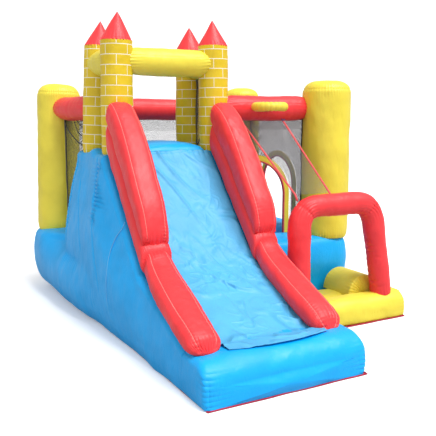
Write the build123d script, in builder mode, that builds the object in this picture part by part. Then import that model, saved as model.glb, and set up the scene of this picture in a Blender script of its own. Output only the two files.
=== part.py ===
"""Inflatable bounce house with slide, corner towers, netted walls and an entry pad.

Millimetres, +Z up. X = 0 is the slide's centre line, Y = 0 is the line of the front towers,
and Z = 0 is the ground. The slide points towards -Y and the bounce area lies at +X.
Every air chamber is a closed skin with air inside.
"""
import os
from math import hypot

from build123d import *

os.makedirs("parts", exist_ok=True)

# Driving dimensions
skin = 1.0                    # coated fabric, counted with its seams and lining
sheet_thickness = 2.0         # bottom sheet
net_thickness = 2.0
seam_gap = 0.3                # clearance between two chambers that are sewn together

slide_half_width = 571.0
slide_front = -1787.0
landing_rear = -1487.0
landing_height = 270.0
knee_y, knee_z = -787.0, 570.0
platform_front = -87.0
platform_rear = 600.0
platform_top = 1345.0
platform_bulge = 145.0        # how far the block's free side swells beyond the slide
bulge_low_z, bulge_high_z = 250.0, 480.0
platform_shoulder = 30.0      # how far that side leans in at the top

left_x, right_x = -541.0, 1478.0
front_y, rear_y = -161.0, 1346.0
wall_half = 235.0             # half the width of a base wall
base_top = 600.0
floor_top = 300.0

column_radius = 194.0
column_top = 1930.0
front_column_x = 1460.0       # the front column is the widest of the three
front_column_radius = 212.0
front_setback = 70.0          # the front beam and net meet it this far behind its middle
beam_radius = 105.0
beam_z = 1708.0

tower_x = 423.0
tower_rear_y = 463.0
tower_radius = 121.0
tower_top = 2200.0
spire_top = 2400.0
tower_beam_radius = 107.0
tower_beam_z = 2059.0

rail_spans = {"left": (-565.0, -345.0), "right": (310.0, 525.0)}
rail_top_y = -124.0           # the rails end against the towers
rail_crease = (-802.0, 760.0)

pad_right = 1679.0
pad_front, pad_step = -997.0, -757.0
pad_floor_top = 165.0
pad_bolster_top = 212.0

arch_radius = 88.0
arch_y = -877.0
arch_top_z = 962.0

door_trim_width = 60.0
trim_thickness = 6.0

blower_x, blower_y, blower_z = 700.0, 1900.0, 210.0
volute_radius = 175.0
volute_half_width = 95.0
duct_radius = 66.0
duct_z = 300.0

ground = sheet_thickness      # what the chambers stand on


def post(x, y, radius):
    """A round post of the frame: its centre and radius."""
    return Vector(x, y, 0), radius


left_rear_post = post(left_x, rear_y, column_radius)
right_rear_post = post(right_x, rear_y, column_radius)
right_front_post = post(front_column_x, front_y, front_column_radius)
front_chord = 194.0           # half the front column's width along the front beam's line
front_span_end = post(front_column_x, front_y + front_setback, front_chord)
front_left_tower = post(-tower_x, 0, tower_radius)
front_right_tower = post(tower_x, 0, tower_radius)
rear_left_tower = post(-tower_x, tower_rear_y, tower_radius)
rear_right_tower = post(tower_x, tower_rear_y, tower_radius)


def span_plane(start, end):
    """The upright plane through two posts: x runs from the first post's centre, y is up."""
    along = (end[0] - start[0]).normalized()
    return Plane(origin=start[0], x_dir=along, z_dir=along.cross(Vector(0, 0, 1)))


def span_length(start, end):
    return (end[0] - start[0]).length


def write(piece, label):
    """Labels a finished piece and writes its STEP file."""
    piece.part.label = label
    export_step(piece.part, f"parts/{label}.step")


# Bottom sheet under the whole house
sheet_margin = 60.0           # the round walls touch the ground this far inside their widest line
sheet_rear_left = -600.0
with BuildPart() as ground_sheet:
    with BuildSketch():
        with BuildLine():
            Polyline(
                (-slide_half_width, slide_front), (slide_half_width, slide_front),
                (slide_half_width, pad_front), (pad_right, pad_front),
                (pad_right, rear_y + wall_half - sheet_margin),
                (sheet_rear_left, rear_y + wall_half - sheet_margin),
                (-slide_half_width, platform_rear),
                close=True,
            )
        make_face()
    extrude(amount=sheet_thickness)
write(ground_sheet, "ground_sheet")


# Base walls: wide air logs round the bounce floor, rounded along their length
wall_rounding = 115.0
base_walls = {
    "base_wall_rear": (Axis.X, left_x - wall_half, right_x + wall_half,
                       rear_y - wall_half, rear_y + wall_half),
    "base_wall_left": (Axis.Y, left_x - wall_half, left_x + wall_half,
                       platform_rear + seam_gap, rear_y - wall_half - seam_gap),
    "base_wall_right": (Axis.Y, right_x - wall_half, right_x + wall_half,
                        front_y + wall_half + seam_gap, rear_y - wall_half - seam_gap),
    "base_wall_front": (Axis.X, slide_half_width + seam_gap, right_x + wall_half,
                        front_y - wall_half, front_y + wall_half),
}
for label, (run, x0, x1, y0, y1) in base_walls.items():
    with BuildPart() as base_wall:
        with BuildSketch(Plane.XY.offset(ground)):
            with Locations(((x0 + x1) / 2, (y0 + y1) / 2)):
                Rectangle(x1 - x0, y1 - y0)
        extrude(amount=base_top - ground)
        fillet(base_wall.edges().filter_by(run), wall_rounding)
        offset(amount=-skin, mode=Mode.SUBTRACT)
    write(base_wall, label)


# Bounce floor: one cell beside the platform block and one behind it
inner_left, inner_right = left_x + wall_half + seam_gap, right_x - wall_half - seam_gap
inner_front, inner_rear = front_y + wall_half + seam_gap, rear_y - wall_half - seam_gap
floor_cells = [
    (slide_half_width + seam_gap, inner_right, inner_front, inner_rear),
    (inner_left, slide_half_width, platform_rear + seam_gap, inner_rear),
]
with BuildPart() as bounce_floor:
    with BuildSketch(Plane.XY.offset(ground)):
        for x0, x1, y0, y1 in floor_cells:
            with Locations(((x0 + x1) / 2, (y0 + y1) / 2)):
                Rectangle(x1 - x0, y1 - y0)
    extrude(amount=floor_top - ground)
    offset(amount=-skin, mode=Mode.SUBTRACT)
write(bounce_floor, "bounce_floor")


# Domed corner columns
dome_rounding = 150.0
for label, (centre, radius) in {
    "column_left_rear": left_rear_post,
    "column_right_rear": right_rear_post,
    "column_right_front": right_front_post,
}.items():
    with BuildPart() as column:
        with BuildSketch(Plane.XY.offset(base_top + seam_gap)):
            with Locations((centre.X, centre.Y)):
                Circle(radius)
        extrude(amount=column_top - base_top - seam_gap)
        fillet(column.faces().sort_by(Axis.Z)[-1].edges(), dome_rounding)
        offset(amount=-skin, mode=Mode.SUBTRACT)
    write(column, label)


# Towers on the platform block, each with a pointed spire
spire_base_radius = 117.0
spire_tip_radius = 3.0
for label, (centre, radius) in {
    "tower_front_left": front_left_tower,
    "tower_front_right": front_right_tower,
    "tower_rear_left": rear_left_tower,
    "tower_rear_right": rear_right_tower,
}.items():
    with BuildPart() as tower:
        with BuildSketch(Plane.XY.offset(platform_top + seam_gap)):
            with Locations((centre.X, centre.Y)):
                Circle(radius)
        extrude(amount=tower_top - platform_top - seam_gap)
        offset(amount=-skin, mode=Mode.SUBTRACT)
    write(tower, label)

    with BuildPart() as spire:
        with BuildSketch(Plane.XY.offset(tower_top + seam_gap)):
            with Locations((centre.X, centre.Y)):
                Circle(spire_base_radius)
        with BuildSketch(Plane.XY.offset(spire_top)):
            with Locations((centre.X, centre.Y)):
                Circle(spire_tip_radius)
        loft()
        offset(amount=-skin, mode=Mode.SUBTRACT)
    write(spire, label.replace("tower", "spire"))


# Round beams from post to post, each end shaped to the post that it is sewn to
beams = {
    "beam_left": (left_rear_post, rear_left_tower, beam_z, beam_radius),
    "beam_rear": (left_rear_post, right_rear_post, beam_z, beam_radius),
    "beam_right": (right_front_post, right_rear_post, beam_z, beam_radius),
    "beam_front": (front_right_tower, front_span_end, beam_z, beam_radius),
    "tower_beam_front": (front_left_tower, front_right_tower, tower_beam_z, tower_beam_radius),
    "tower_beam_left": (front_left_tower, rear_left_tower, tower_beam_z, tower_beam_radius),
    "tower_beam_right": (front_right_tower, rear_right_tower, tower_beam_z, tower_beam_radius),
}
for label, (start, end, height, radius) in beams.items():
    frame = span_plane(start, end)
    axis_start = start[0] + Vector(0, 0, height)
    end_post = right_front_post if end is front_span_end else end
    with BuildPart() as beam:
        with BuildSketch(Plane(origin=axis_start, z_dir=frame.x_dir)):
            Circle(radius)
        extrude(amount=span_length(start, end))
        for centre, post_radius in (start, end_post):
            with Locations((centre.X, centre.Y, height)):
                Cylinder(post_radius + seam_gap, 3 * radius, mode=Mode.SUBTRACT)
        offset(amount=-skin, mode=Mode.SUBTRACT)
    write(beam, label)


# Platform block: flat towards the bounce area, swelling low down on its free side
with BuildPart() as platform_block:
    with BuildSketch(Plane.XZ.offset(-platform_front)):
        with BuildLine():
            Polyline(
                (-slide_half_width, ground),
                (-slide_half_width - 0.9 * platform_bulge, bulge_low_z),
                (-slide_half_width - platform_bulge, bulge_high_z),
                (-slide_half_width + platform_shoulder, platform_top),
                (slide_half_width, platform_top),
                (slide_half_width, ground),
                close=True,
            )
        make_face()
    extrude(amount=platform_front - platform_rear)
    offset(amount=-skin, mode=Mode.SUBTRACT)
write(platform_block, "platform_block")

tower_clearance = 2.0
pad_half_width = tower_x - tower_radius - tower_clearance
platform_pad_thickness = 50.0
with BuildPart() as platform_pad:
    with BuildSketch(Plane.XY.offset(platform_top + seam_gap)):
        with Locations((0, (platform_front + platform_rear) / 2)):
            Rectangle(2 * pad_half_width, platform_rear - platform_front)
    extrude(amount=platform_pad_thickness)
    offset(amount=-skin, mode=Mode.SUBTRACT)
write(platform_pad, "platform_pad")


# Slide: a steep cell and a run-out cell, divided by a baffle at the knee, and a landing bolster
slide_cells = [
    [(platform_front - seam_gap, ground), (platform_front - seam_gap, platform_top),
     (knee_y + seam_gap, knee_z), (knee_y + seam_gap, ground)],
    [(knee_y, ground), (knee_y, knee_z), (landing_rear, landing_height), (landing_rear, ground)],
]
with BuildPart() as slide_body:
    with BuildSketch(Plane.YZ.offset(-slide_half_width)):
        for outline in slide_cells:
            with BuildLine():
                Polyline(*outline, close=True)
            make_face()
    extrude(amount=2 * slide_half_width)
    offset(amount=-skin, mode=Mode.SUBTRACT)
write(slide_body, "slide_body")

landing_rounding = 90.0
with BuildPart() as landing_bolster:
    with BuildSketch(Plane.YZ.offset(-slide_half_width)):
        with Locations(((slide_front + landing_rear - seam_gap) / 2,
                        (landing_height + ground) / 2)):
            Rectangle(landing_rear - seam_gap - slide_front, landing_height - ground)
    extrude(amount=2 * slide_half_width)
    fillet(landing_bolster.edges().filter_by(Axis.X).group_by(Axis.Y)[0].sort_by(Axis.Z)[-1],
           landing_rounding)
    offset(amount=-skin, mode=Mode.SUBTRACT)
write(landing_bolster, "landing_bolster")


# Rails: a full-length tube on each side of the slide, with a second tube on its steep part
ramp_slope = (platform_top - knee_z) / (platform_front - knee_y)
ramp_at_rail_top = knee_z + ramp_slope * (rail_top_y - knee_y)
tube_line_top = 1590.0        # where the two tubes meet, at the top end
rail_rest = 0.5               # clearance between a rail and the slide's surface
rail_outlines = {
    "rail_upper_tube": [
        [(rail_crease[0], rail_crease[1] + seam_gap), (-820, 870), (-787, 1010), (-587, 1310),
         (-457, 1490), (-327, 1630), (rail_top_y, 1750), (rail_top_y, tube_line_top + seam_gap)],
    ],
    "rail_lower_tube": [
        [(rail_top_y, ramp_at_rail_top + rail_rest), (rail_top_y, tube_line_top),
         rail_crease, (knee_y, knee_z + rail_rest)],
        [(knee_y - seam_gap, knee_z + rail_rest), (rail_crease[0] - seam_gap, rail_crease[1]),
         (-1457, 430), (-1545, 370), (-1575, landing_height + rail_rest),
         (landing_rear, landing_height + rail_rest)],
    ],
}
for side, (rail_left, rail_right) in rail_spans.items():
    for name, outlines in rail_outlines.items():
        with BuildPart() as rail:
            with BuildSketch(Plane.YZ.offset(rail_left)):
                for outline in outlines:
                    with BuildLine():
                        Polyline(*outline, close=True)
                    make_face()
            extrude(amount=rail_right - rail_left)
            offset(amount=-skin, mode=Mode.SUBTRACT)
        write(rail, f"{side}_{name}")


# Loose cover sheet on the slide, free at its lower edge
cover_left, cover_right = -330.0, 300.0
cover_height = 4.8            # measured upwards, so about 3 thick on the steep part
cover_lift = 6.0
cover_foot_y = -1640.0
cover_line = [
    (platform_front + 5, platform_top + platform_pad_thickness + cover_lift),
    (platform_front - 30, platform_top + platform_pad_thickness - 20),
    (knee_y - 8, knee_z + 14),
    (landing_rear, landing_height + cover_lift),
    (cover_foot_y, landing_height + cover_lift),
]
with BuildPart() as slide_cover:
    with BuildSketch(Plane.YZ.offset(cover_left)):
        with BuildLine():
            Polyline(
                *cover_line,
                *[(y, z + cover_height) for y, z in reversed(cover_line)],
                close=True,
            )
        make_face()
    extrude(amount=cover_right - cover_left)
write(slide_cover, "slide_cover")


# Climbing wall up to the platform from inside, with padded rungs
climb_half_width = 290.0
climb_foot_y = 960.0
climb_head_y, climb_head_z = 660.0, 1330.0
with BuildPart() as climbing_wall:
    with BuildSketch(Plane.YZ.offset(-climb_half_width)):
        with BuildLine():
            Polyline(
                (platform_rear + seam_gap, floor_top + seam_gap),
                (platform_rear + seam_gap, climb_head_z),
                (climb_head_y, climb_head_z),
                (climb_foot_y, floor_top + seam_gap),
                close=True,
            )
        make_face()
    extrude(amount=2 * climb_half_width)
    offset(amount=-skin, mode=Mode.SUBTRACT)
write(climbing_wall, "climbing_wall")

rung_radius = 32.0
rung_half_length = 200.0
rung_lift = rung_radius + 1   # from the wall's surface to a rung's centre
rung_heights = [480, 680, 880, 1080]
climb_run = climb_foot_y - climb_head_y
climb_rise = climb_head_z - floor_top - seam_gap
climb_length = hypot(climb_run, climb_rise)
with BuildPart() as climbing_rungs:
    for height in rung_heights:
        surface_y = climb_foot_y - climb_run * (height - floor_top - seam_gap) / climb_rise
        rung_y = surface_y + rung_lift * climb_rise / climb_length
        rung_z = height + rung_lift * climb_run / climb_length
        with BuildSketch(Plane.YZ.offset(-rung_half_length)):
            with Locations((rung_y, rung_z)):
                Circle(rung_radius)
        extrude(amount=2 * rung_half_length)
    offset(amount=-skin, mode=Mode.SUBTRACT)
write(climbing_rungs, "climbing_rungs")


# Nets between the posts, under the beams; two of them have an arched doorway
net_foot = base_top + seam_gap
net_head = beam_z - beam_radius - seam_gap
nets = {
    "net_left": (left_rear_post, rear_left_tower, 3.0, 749.0),
    "net_rear": (left_rear_post, right_rear_post, None, None),
    "net_right": (right_front_post, right_rear_post, None, None),
    "net_front": (front_right_tower, front_span_end, 160.0, None),
}
doors = {
    "net_right": {"centre": 764.0, "half_width": 262.0, "crown": 1240.0},
    "net_front": {"centre": 367.0, "half_width": 298.0, "crown": 1250.0},
}
sew_gap = 1.0                 # between a net's edge and its neighbours
for label, (start, end, first, last) in nets.items():
    frame = span_plane(start, end)
    first = max(first or 0, start[1] + sew_gap)
    last = last or span_length(start, end) - end[1] - sew_gap
    door = doors.get(label)
    with BuildPart() as net:
        with BuildSketch(frame.offset(-net_thickness / 2)):
            with Locations(((first + last) / 2, (net_foot + net_head) / 2)):
                Rectangle(last - first, net_head - net_foot)
            if door:
                opening = door["half_width"] + door_trim_width + sew_gap
                spring_line = door["crown"] - door["half_width"]
                with Locations((door["centre"], spring_line)):
                    Circle(opening, mode=Mode.SUBTRACT)
                with Locations((door["centre"], (net_foot + spring_line) / 2)):
                    Rectangle(2 * opening, spring_line - net_foot, mode=Mode.SUBTRACT)
        extrude(amount=net_thickness)
    write(net, label)

    if door:
        with BuildPart() as door_trim:
            with BuildSketch(frame.offset(-trim_thickness / 2)):
                for width, mode in ((opening - sew_gap, Mode.ADD),
                                    (door["half_width"], Mode.SUBTRACT)):
                    with Locations((door["centre"], spring_line)):
                        Circle(width, mode=mode)
                    with Locations((door["centre"], (net_foot + spring_line) / 2)):
                        Rectangle(2 * width, spring_line - net_foot, mode=mode)
                with Locations(((first + last) / 2, (net_foot + net_head) / 2)):
                    Rectangle(last - first, net_head - net_foot, mode=Mode.INTERSECT)
            extrude(amount=trim_thickness)
        write(door_trim, label.replace("net", "door_trim"))


# Small nets between each side's two towers, above the platform
tower_net_foot = platform_top + seam_gap
tower_net_head = tower_beam_z - tower_beam_radius - seam_gap
with BuildPart() as tower_nets:
    with BuildSketch(*[Plane.YZ.offset(x - net_thickness / 2) for x in (-tower_x, tower_x)]):
        with Locations((tower_rear_y / 2, (tower_net_foot + tower_net_head) / 2)):
            Rectangle(tower_rear_y - 2 * tower_radius - 2 * sew_gap,
                      tower_net_head - tower_net_foot)
    extrude(amount=net_thickness)
write(tower_nets, "tower_nets")


# Entry pad in front of the doorway: a floor, a front bolster and a round side bolster
pad_left = slide_half_width + seam_gap
with BuildPart() as entry_floor:
    with BuildSketch(Plane.XY.offset(ground)):
        pad_rear = front_y - wall_half - seam_gap
        with Locations(((pad_left + pad_right) / 2, (pad_step + seam_gap + pad_rear) / 2)):
            Rectangle(pad_right - pad_left, pad_rear - pad_step - seam_gap)
    extrude(amount=pad_floor_top - ground)
    offset(amount=-skin, mode=Mode.SUBTRACT)
write(entry_floor, "entry_floor")

pad_bolster_rounding = 60.0
with BuildPart() as entry_bolster:
    with BuildSketch(Plane.XY.offset(ground)):
        with Locations(((pad_left + pad_right) / 2, (pad_front + pad_step) / 2)):
            Rectangle(pad_right - pad_left, pad_step - pad_front)
    extrude(amount=pad_bolster_top - ground)
    fillet(entry_bolster.edges().filter_by(Axis.X).group_by(Axis.Z)[-1], pad_bolster_rounding)
    offset(amount=-skin, mode=Mode.SUBTRACT)
write(entry_bolster, "entry_bolster")

side_bolster_x, side_bolster_radius = 1430.0, 160.0
side_bolster_lift = 5.3       # its centre above the pad's floor
end_gap = 4.0
side_bolster_start, side_bolster_end = pad_step + end_gap, front_y - wall_half - end_gap
with BuildPart() as side_bolster:
    with BuildSketch(Plane.XZ.offset(-side_bolster_start)):
        with Locations((side_bolster_x, pad_floor_top + side_bolster_lift)):
            Circle(side_bolster_radius)
        with Locations((side_bolster_x, pad_floor_top + seam_gap - side_bolster_radius)):
            Rectangle(3 * side_bolster_radius, 2 * side_bolster_radius, mode=Mode.SUBTRACT)
    extrude(amount=side_bolster_start - side_bolster_end)
    offset(amount=-skin, mode=Mode.SUBTRACT)
write(side_bolster, "side_bolster")


# Entry arch: one bent tube, divided at its two corners by mitred baffles
arch_foot = pad_bolster_top + seam_gap
arch_centres = [
    Vector(x, arch_y, z)
    for x, z in ((679, arch_foot), (679, arch_top_z), (1372, arch_top_z), (1510, arch_foot))
]
arch_axes = [(b - a).normalized() for a, b in zip(arch_centres, arch_centres[1:])]
mitres = [
    Plane(origin=arch_centres[i + 1], z_dir=(arch_axes[i] + arch_axes[i + 1]).normalized())
    for i in range(2)
]
arch_ends = [Plane(origin=arch_centres[0], z_dir=(0, 0, 1)), *mitres,
             Plane(origin=arch_centres[3], z_dir=(0, 0, -1))]
arch_overrun = 3 * arch_radius   # each tube is drawn past its ends and then cut back
arch_tubes = []
for index, axis in enumerate(arch_axes):
    first, last = arch_ends[index], arch_ends[index + 1]
    with BuildPart() as arch_tube:
        with BuildSketch(Plane(origin=arch_centres[index] - axis * arch_overrun, z_dir=axis)):
            Circle(arch_radius)
        extrude(amount=(arch_centres[index + 1] - arch_centres[index]).length
                + 2 * arch_overrun)
        split(bisect_by=first.offset(seam_gap / 2), keep=Keep.TOP)
        split(bisect_by=last.offset(-seam_gap / 2), keep=Keep.BOTTOM)
        offset(amount=-skin, mode=Mode.SUBTRACT)
    arch_tubes.append(arch_tube.part)
with BuildPart() as entry_arch:
    add(arch_tubes)
write(entry_arch, "entry_arch")


# Canopy net from the front beam down to the arch, bound with webbing on three sides
canopy_foot = (arch_y + 27, arch_top_z + arch_radius + 6)
canopy_head = (-100.0, beam_z - beam_radius - 3)
canopy_rise = Vector(0, canopy_head[0] - canopy_foot[0], canopy_head[1] - canopy_foot[1])
canopy_plane = Plane(
    origin=(0, canopy_foot[0], canopy_foot[1]),
    x_dir=(1, 0, 0),
    z_dir=Vector(1, 0, 0).cross(canopy_rise),
)
canopy_corners = [(655, 0), (975, 0), (1036, canopy_rise.length), (616, canopy_rise.length)]
binding_width = 14.0
binding_thickness = 5.0
with BuildPart() as canopy_net:
    with BuildSketch(canopy_plane.offset(-net_thickness / 2)):
        with BuildLine():
            Polyline(*canopy_corners, close=True)
        make_face()
        offset(amount=-binding_width - sew_gap)
    extrude(amount=net_thickness)
write(canopy_net, "canopy_net")

with BuildPart() as canopy_binding:
    with BuildSketch(canopy_plane.offset(-binding_thickness / 2)):
        with BuildLine():
            Polyline(*canopy_corners, close=True)
        make_face()
        offset(amount=-binding_width, mode=Mode.SUBTRACT)
    extrude(amount=binding_thickness)
write(canopy_binding, "canopy_binding")


# Play hoop on the front beam
hoop_radius, hoop_tube = 115.0, 37.0
hoop_x, hoop_z = 789.0, beam_z + 4
hoop_bite = 12.0              # how deep the ring's tube is shaped to the beam
beam_fraction = (hoop_x - tower_x) / (front_column_x - tower_x)
beam_y = (front_y + front_setback) * beam_fraction
hoop_y = beam_y - beam_radius - hoop_radius - hoop_tube + hoop_bite
front_frame = span_plane(front_right_tower, front_span_end)
with BuildPart() as play_hoop:
    with BuildSketch(Plane.XZ.offset(-hoop_y)):
        with Locations((hoop_x + hoop_radius, hoop_z)):
            Circle(hoop_tube)
    revolve(axis=Axis((hoop_x, hoop_y, beam_z), (0, 0, 1)))
    with BuildSketch(Plane(origin=(tower_x, 0, beam_z), z_dir=front_frame.x_dir)):
        Circle(beam_radius + seam_gap)
    extrude(amount=front_column_x - tower_x, mode=Mode.SUBTRACT)
    offset(amount=-skin, mode=Mode.SUBTRACT)
write(play_hoop, "play_hoop")


# Air inlet sleeve at the rear, round the blower's outlet
rear_face = rear_y + wall_half
sleeve_length, sleeve_clearance, sleeve_thickness = 110.0, 0.5, 2.0
with BuildPart() as inlet_sleeve:
    with BuildSketch(Plane.XZ.offset(-rear_face - seam_gap)):
        with Locations((blower_x, duct_z)):
            Circle(duct_radius + sleeve_clearance + sleeve_thickness)
            Circle(duct_radius + sleeve_clearance, mode=Mode.SUBTRACT)
    extrude(amount=-sleeve_length)
write(inlet_sleeve, "inlet_sleeve")


# Deflation zip low on the rear wall, with a slider that runs along it
zip_start_x, zip_length, zip_z = -420.0, 300.0, 170.0
zip_tape_width, zip_teeth_width, zip_layer = 32.0, 7.0, 2.0
zip_teeth_margin = 8.0        # the teeth stop short of the tape's ends
with BuildPart() as deflation_zip:
    with BuildSketch(Plane.XZ.offset(-rear_face - seam_gap)):
        with Locations((zip_start_x + zip_length / 2, zip_z)):
            Rectangle(zip_length, zip_tape_width)
    extrude(amount=-zip_layer)
    with BuildSketch(Plane.XZ.offset(-rear_face - seam_gap - zip_layer)):
        with Locations((zip_start_x + zip_length / 2, zip_z)):
            Rectangle(zip_length - 2 * zip_teeth_margin, zip_teeth_width)
    extrude(amount=-zip_layer)
write(deflation_zip, "deflation_zip")

slider_x = zip_start_x + 22
slider_length, slider_width, slider_height = 16.0, 12.0, 4.0
pull_length, pull_width, pull_thickness = 46.0, 10.0, 2.0
slider_face = -rear_face - seam_gap - 2 * zip_layer - 0.1
with BuildPart() as zip_slider:
    with BuildSketch(Plane.XZ.offset(slider_face)):
        with Locations((slider_x, zip_z)):
            Rectangle(slider_length, slider_width)
    extrude(amount=-slider_height)
    with BuildSketch(Plane.XZ.offset(slider_face - pull_thickness)):
        with Locations((slider_x, zip_z - (slider_width + pull_length) / 2 + pull_width / 2)):
            SlotOverall(pull_length, pull_width, rotation=90)
    extrude(amount=-pull_thickness)
write(zip_slider, "zip_slider")


# Blower: a volute with a duct, a motor, an impeller, a grille, a switch and a carrying handle
shell = 4.0
intake_radius = 80.0
foot_length, foot_height = 260.0, 90.0
axle_plane = Plane(origin=(blower_x, blower_y, blower_z), x_dir=(0, 1, 0), z_dir=(1, 0, 0))
duct_plane = Plane.XZ.offset(-rear_face - 20)
duct_run = blower_y - rear_face - 20
axle_radius, axle_hole_radius = 8.0, 14.0
with BuildPart() as blower_housing:
    with BuildSketch(axle_plane.offset(-volute_half_width)):
        Circle(volute_radius)
    extrude(amount=2 * volute_half_width)
    with BuildSketch(duct_plane):
        with Locations((blower_x, duct_z)):
            Circle(duct_radius)
    extrude(amount=-duct_run)
    with BuildSketch(Plane.XY.offset(ground)):
        with Locations((blower_x, blower_y)):
            Rectangle(2 * volute_half_width, foot_length)
    extrude(amount=foot_height)
    with BuildSketch(axle_plane.offset(-volute_half_width + shell)):
        Circle(volute_radius - shell)
    extrude(amount=2 * (volute_half_width - shell), mode=Mode.SUBTRACT)
    with BuildSketch(duct_plane):
        with Locations((blower_x, duct_z)):
            Circle(duct_radius - shell)
    extrude(amount=-duct_run, mode=Mode.SUBTRACT)
    with BuildSketch(axle_plane.offset(volute_half_width - 2 * shell)):
        Circle(intake_radius)
    extrude(amount=4 * shell, mode=Mode.SUBTRACT)
    with BuildSketch(axle_plane.offset(-volute_half_width - shell)):
        Circle(axle_hole_radius)
    extrude(amount=4 * shell, mode=Mode.SUBTRACT)
write(blower_housing, "blower_housing")

part_gap = 0.2                # between two touching parts of the blower
grille_rim, grille_thickness, grille_bar = 14.0, 6.0, 8.0
grille_gaps = [(22, 36), (44, 58), (66, 78)]   # inner and outer radius of each ring of holes
with BuildPart() as intake_grille:
    with BuildSketch(axle_plane.offset(volute_half_width + part_gap)):
        Circle(intake_radius + grille_rim)
        for gap_inner, gap_outer in grille_gaps:
            Circle(gap_outer, mode=Mode.SUBTRACT)
            Circle(gap_inner, mode=Mode.ADD)
        for angle in (0, 60, 120):
            Rectangle(2 * intake_radius, grille_bar, rotation=angle)
    extrude(amount=grille_thickness)
write(intake_grille, "intake_grille")

impeller_radius, impeller_eye_radius, hub_radius = 125.0, 88.0, 30.0
impeller_half_width = 50.0
disc_thickness = 4.0
vane_count, vane_length, vane_pitch_radius, vane_angle = 18, 50.0, 98.0, 25.0
axle_overhang = 12.0          # how far the axle reaches into the motor
with BuildPart() as blower_impeller:
    with BuildSketch(axle_plane.offset(-volute_half_width - axle_overhang)):
        Circle(axle_radius)
    extrude(amount=volute_half_width + axle_overhang + axle_radius)
    with BuildSketch(axle_plane.offset(-impeller_half_width)):
        Circle(impeller_radius)
    extrude(amount=disc_thickness)
    with BuildSketch(axle_plane.offset(-impeller_half_width)):
        Circle(hub_radius)
    extrude(amount=impeller_half_width)
    with BuildSketch(axle_plane.offset(-impeller_half_width + disc_thickness / 2)):
        with PolarLocations(vane_pitch_radius, vane_count):
            Rectangle(vane_length, disc_thickness, rotation=vane_angle)
    extrude(amount=2 * impeller_half_width + disc_thickness / 2)
    with BuildSketch(axle_plane.offset(impeller_half_width)):
        Circle(impeller_radius)
        Circle(impeller_eye_radius, mode=Mode.SUBTRACT)
    extrude(amount=disc_thickness)
write(blower_impeller, "blower_impeller")

motor_radius, motor_length, motor_rounding = 62.0, 110.0, 18.0
axle_socket_radius, axle_socket_depth = 12.0, 30.0
motor_face = -volute_half_width - part_gap
switch_x = blower_x - volute_half_width - 45
switch_top = blower_z + motor_radius
switch_box_length, switch_box_width, switch_box_height = 56.0, 44.0, 22.0
switch_hole_length, switch_hole_width, switch_hole_depth = 30.0, 20.0, 12.0
with BuildPart() as blower_motor:
    with BuildSketch(axle_plane.offset(motor_face)):
        Circle(motor_radius)
    extrude(amount=-motor_length)
    fillet(blower_motor.faces().sort_by(Axis.X)[0].edges(), motor_rounding)
    with BuildSketch(Plane.XY.offset(blower_z)):
        with Locations((switch_x, blower_y)):
            Rectangle(switch_box_length, switch_box_width)
    extrude(amount=motor_radius + switch_box_height)
    with BuildSketch(Plane.XY.offset(switch_top + switch_box_height - switch_hole_depth)):
        with Locations((switch_x, blower_y)):
            Rectangle(switch_hole_length, switch_hole_width)
    extrude(amount=switch_hole_depth, mode=Mode.SUBTRACT)
    with BuildSketch(axle_plane.offset(motor_face)):
        Circle(axle_socket_radius)
    extrude(amount=-axle_socket_depth, mode=Mode.SUBTRACT)
write(blower_motor, "blower_motor")

gland_x = blower_x - volute_half_width - 70
gland_nut_radius, gland_nut_length = 11.0, 9.0
gland_neck_radius, gland_neck_length = 8.0, 12.0
gland_face = -blower_y - motor_radius
with BuildPart() as cable_gland:
    with BuildSketch(Plane.XZ.offset(gland_face - part_gap)):
        with Locations((gland_x, blower_z)):
            RegularPolygon(gland_nut_radius, 6)
    extrude(amount=-gland_nut_length)
    with BuildSketch(Plane.XZ.offset(gland_face - gland_nut_length)):
        with Locations((gland_x, blower_z)):
            Circle(gland_neck_radius)
    extrude(amount=-gland_neck_length)
write(cable_gland, "cable_gland")

handle_half, handle_width = 70.0, 24.0
handle_height, handle_thickness = 48.0, 16.0
handle_foot = blower_z + volute_radius - 4
handle_post = handle_half - handle_thickness
with BuildPart() as blower_handle:
    with BuildSketch(Plane.YZ.offset(blower_x - handle_width / 2)):
        with BuildLine():
            Polyline(
                (blower_y - handle_half, handle_foot),
                (blower_y - handle_half, handle_foot + handle_height),
                (blower_y + handle_half, handle_foot + handle_height),
                (blower_y + handle_half, handle_foot),
                (blower_y + handle_post, handle_foot),
                (blower_y + handle_post, handle_foot + handle_height - handle_thickness),
                (blower_y - handle_post, handle_foot + handle_height - handle_thickness),
                (blower_y - handle_post, handle_foot),
                close=True,
            )
        make_face()
    extrude(amount=handle_width)
    with BuildSketch(axle_plane.offset(-volute_half_width)):
        Circle(volute_radius + part_gap)
    extrude(amount=2 * volute_half_width, mode=Mode.SUBTRACT)
write(blower_handle, "blower_handle")

rocker_half, rocker_width = 13.5, 18.0
rocker_z = switch_top + 20
with BuildPart() as switch_rocker:
    with BuildSketch(Plane.XZ.offset(-blower_y - rocker_width / 2)):
        with BuildLine():
            Polyline(
                (switch_x - rocker_half, rocker_z - 1), (switch_x - rocker_half, rocker_z + 7),
                (switch_x, rocker_z + 3), (switch_x + rocker_half, rocker_z + 4),
                (switch_x + rocker_half, rocker_z - 3), (switch_x, rocker_z - 6),
                close=True,
            )
        make_face()
    extrude(amount=rocker_width)
write(switch_rocker, "switch_rocker")
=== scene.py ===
"""Looks of the inflatable bounce house: every air chamber, net, strap and sheet as a sewn piece.

Metres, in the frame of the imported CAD: X = 0 is the slide's centre line, Y = 0 is the line of
the front towers, and Z = 0 is the ground. Places and sizes are read from the CAD nodes' boxes.
"""
from math import ceil, cos, hypot, pi, radians, sin, sqrt

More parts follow.
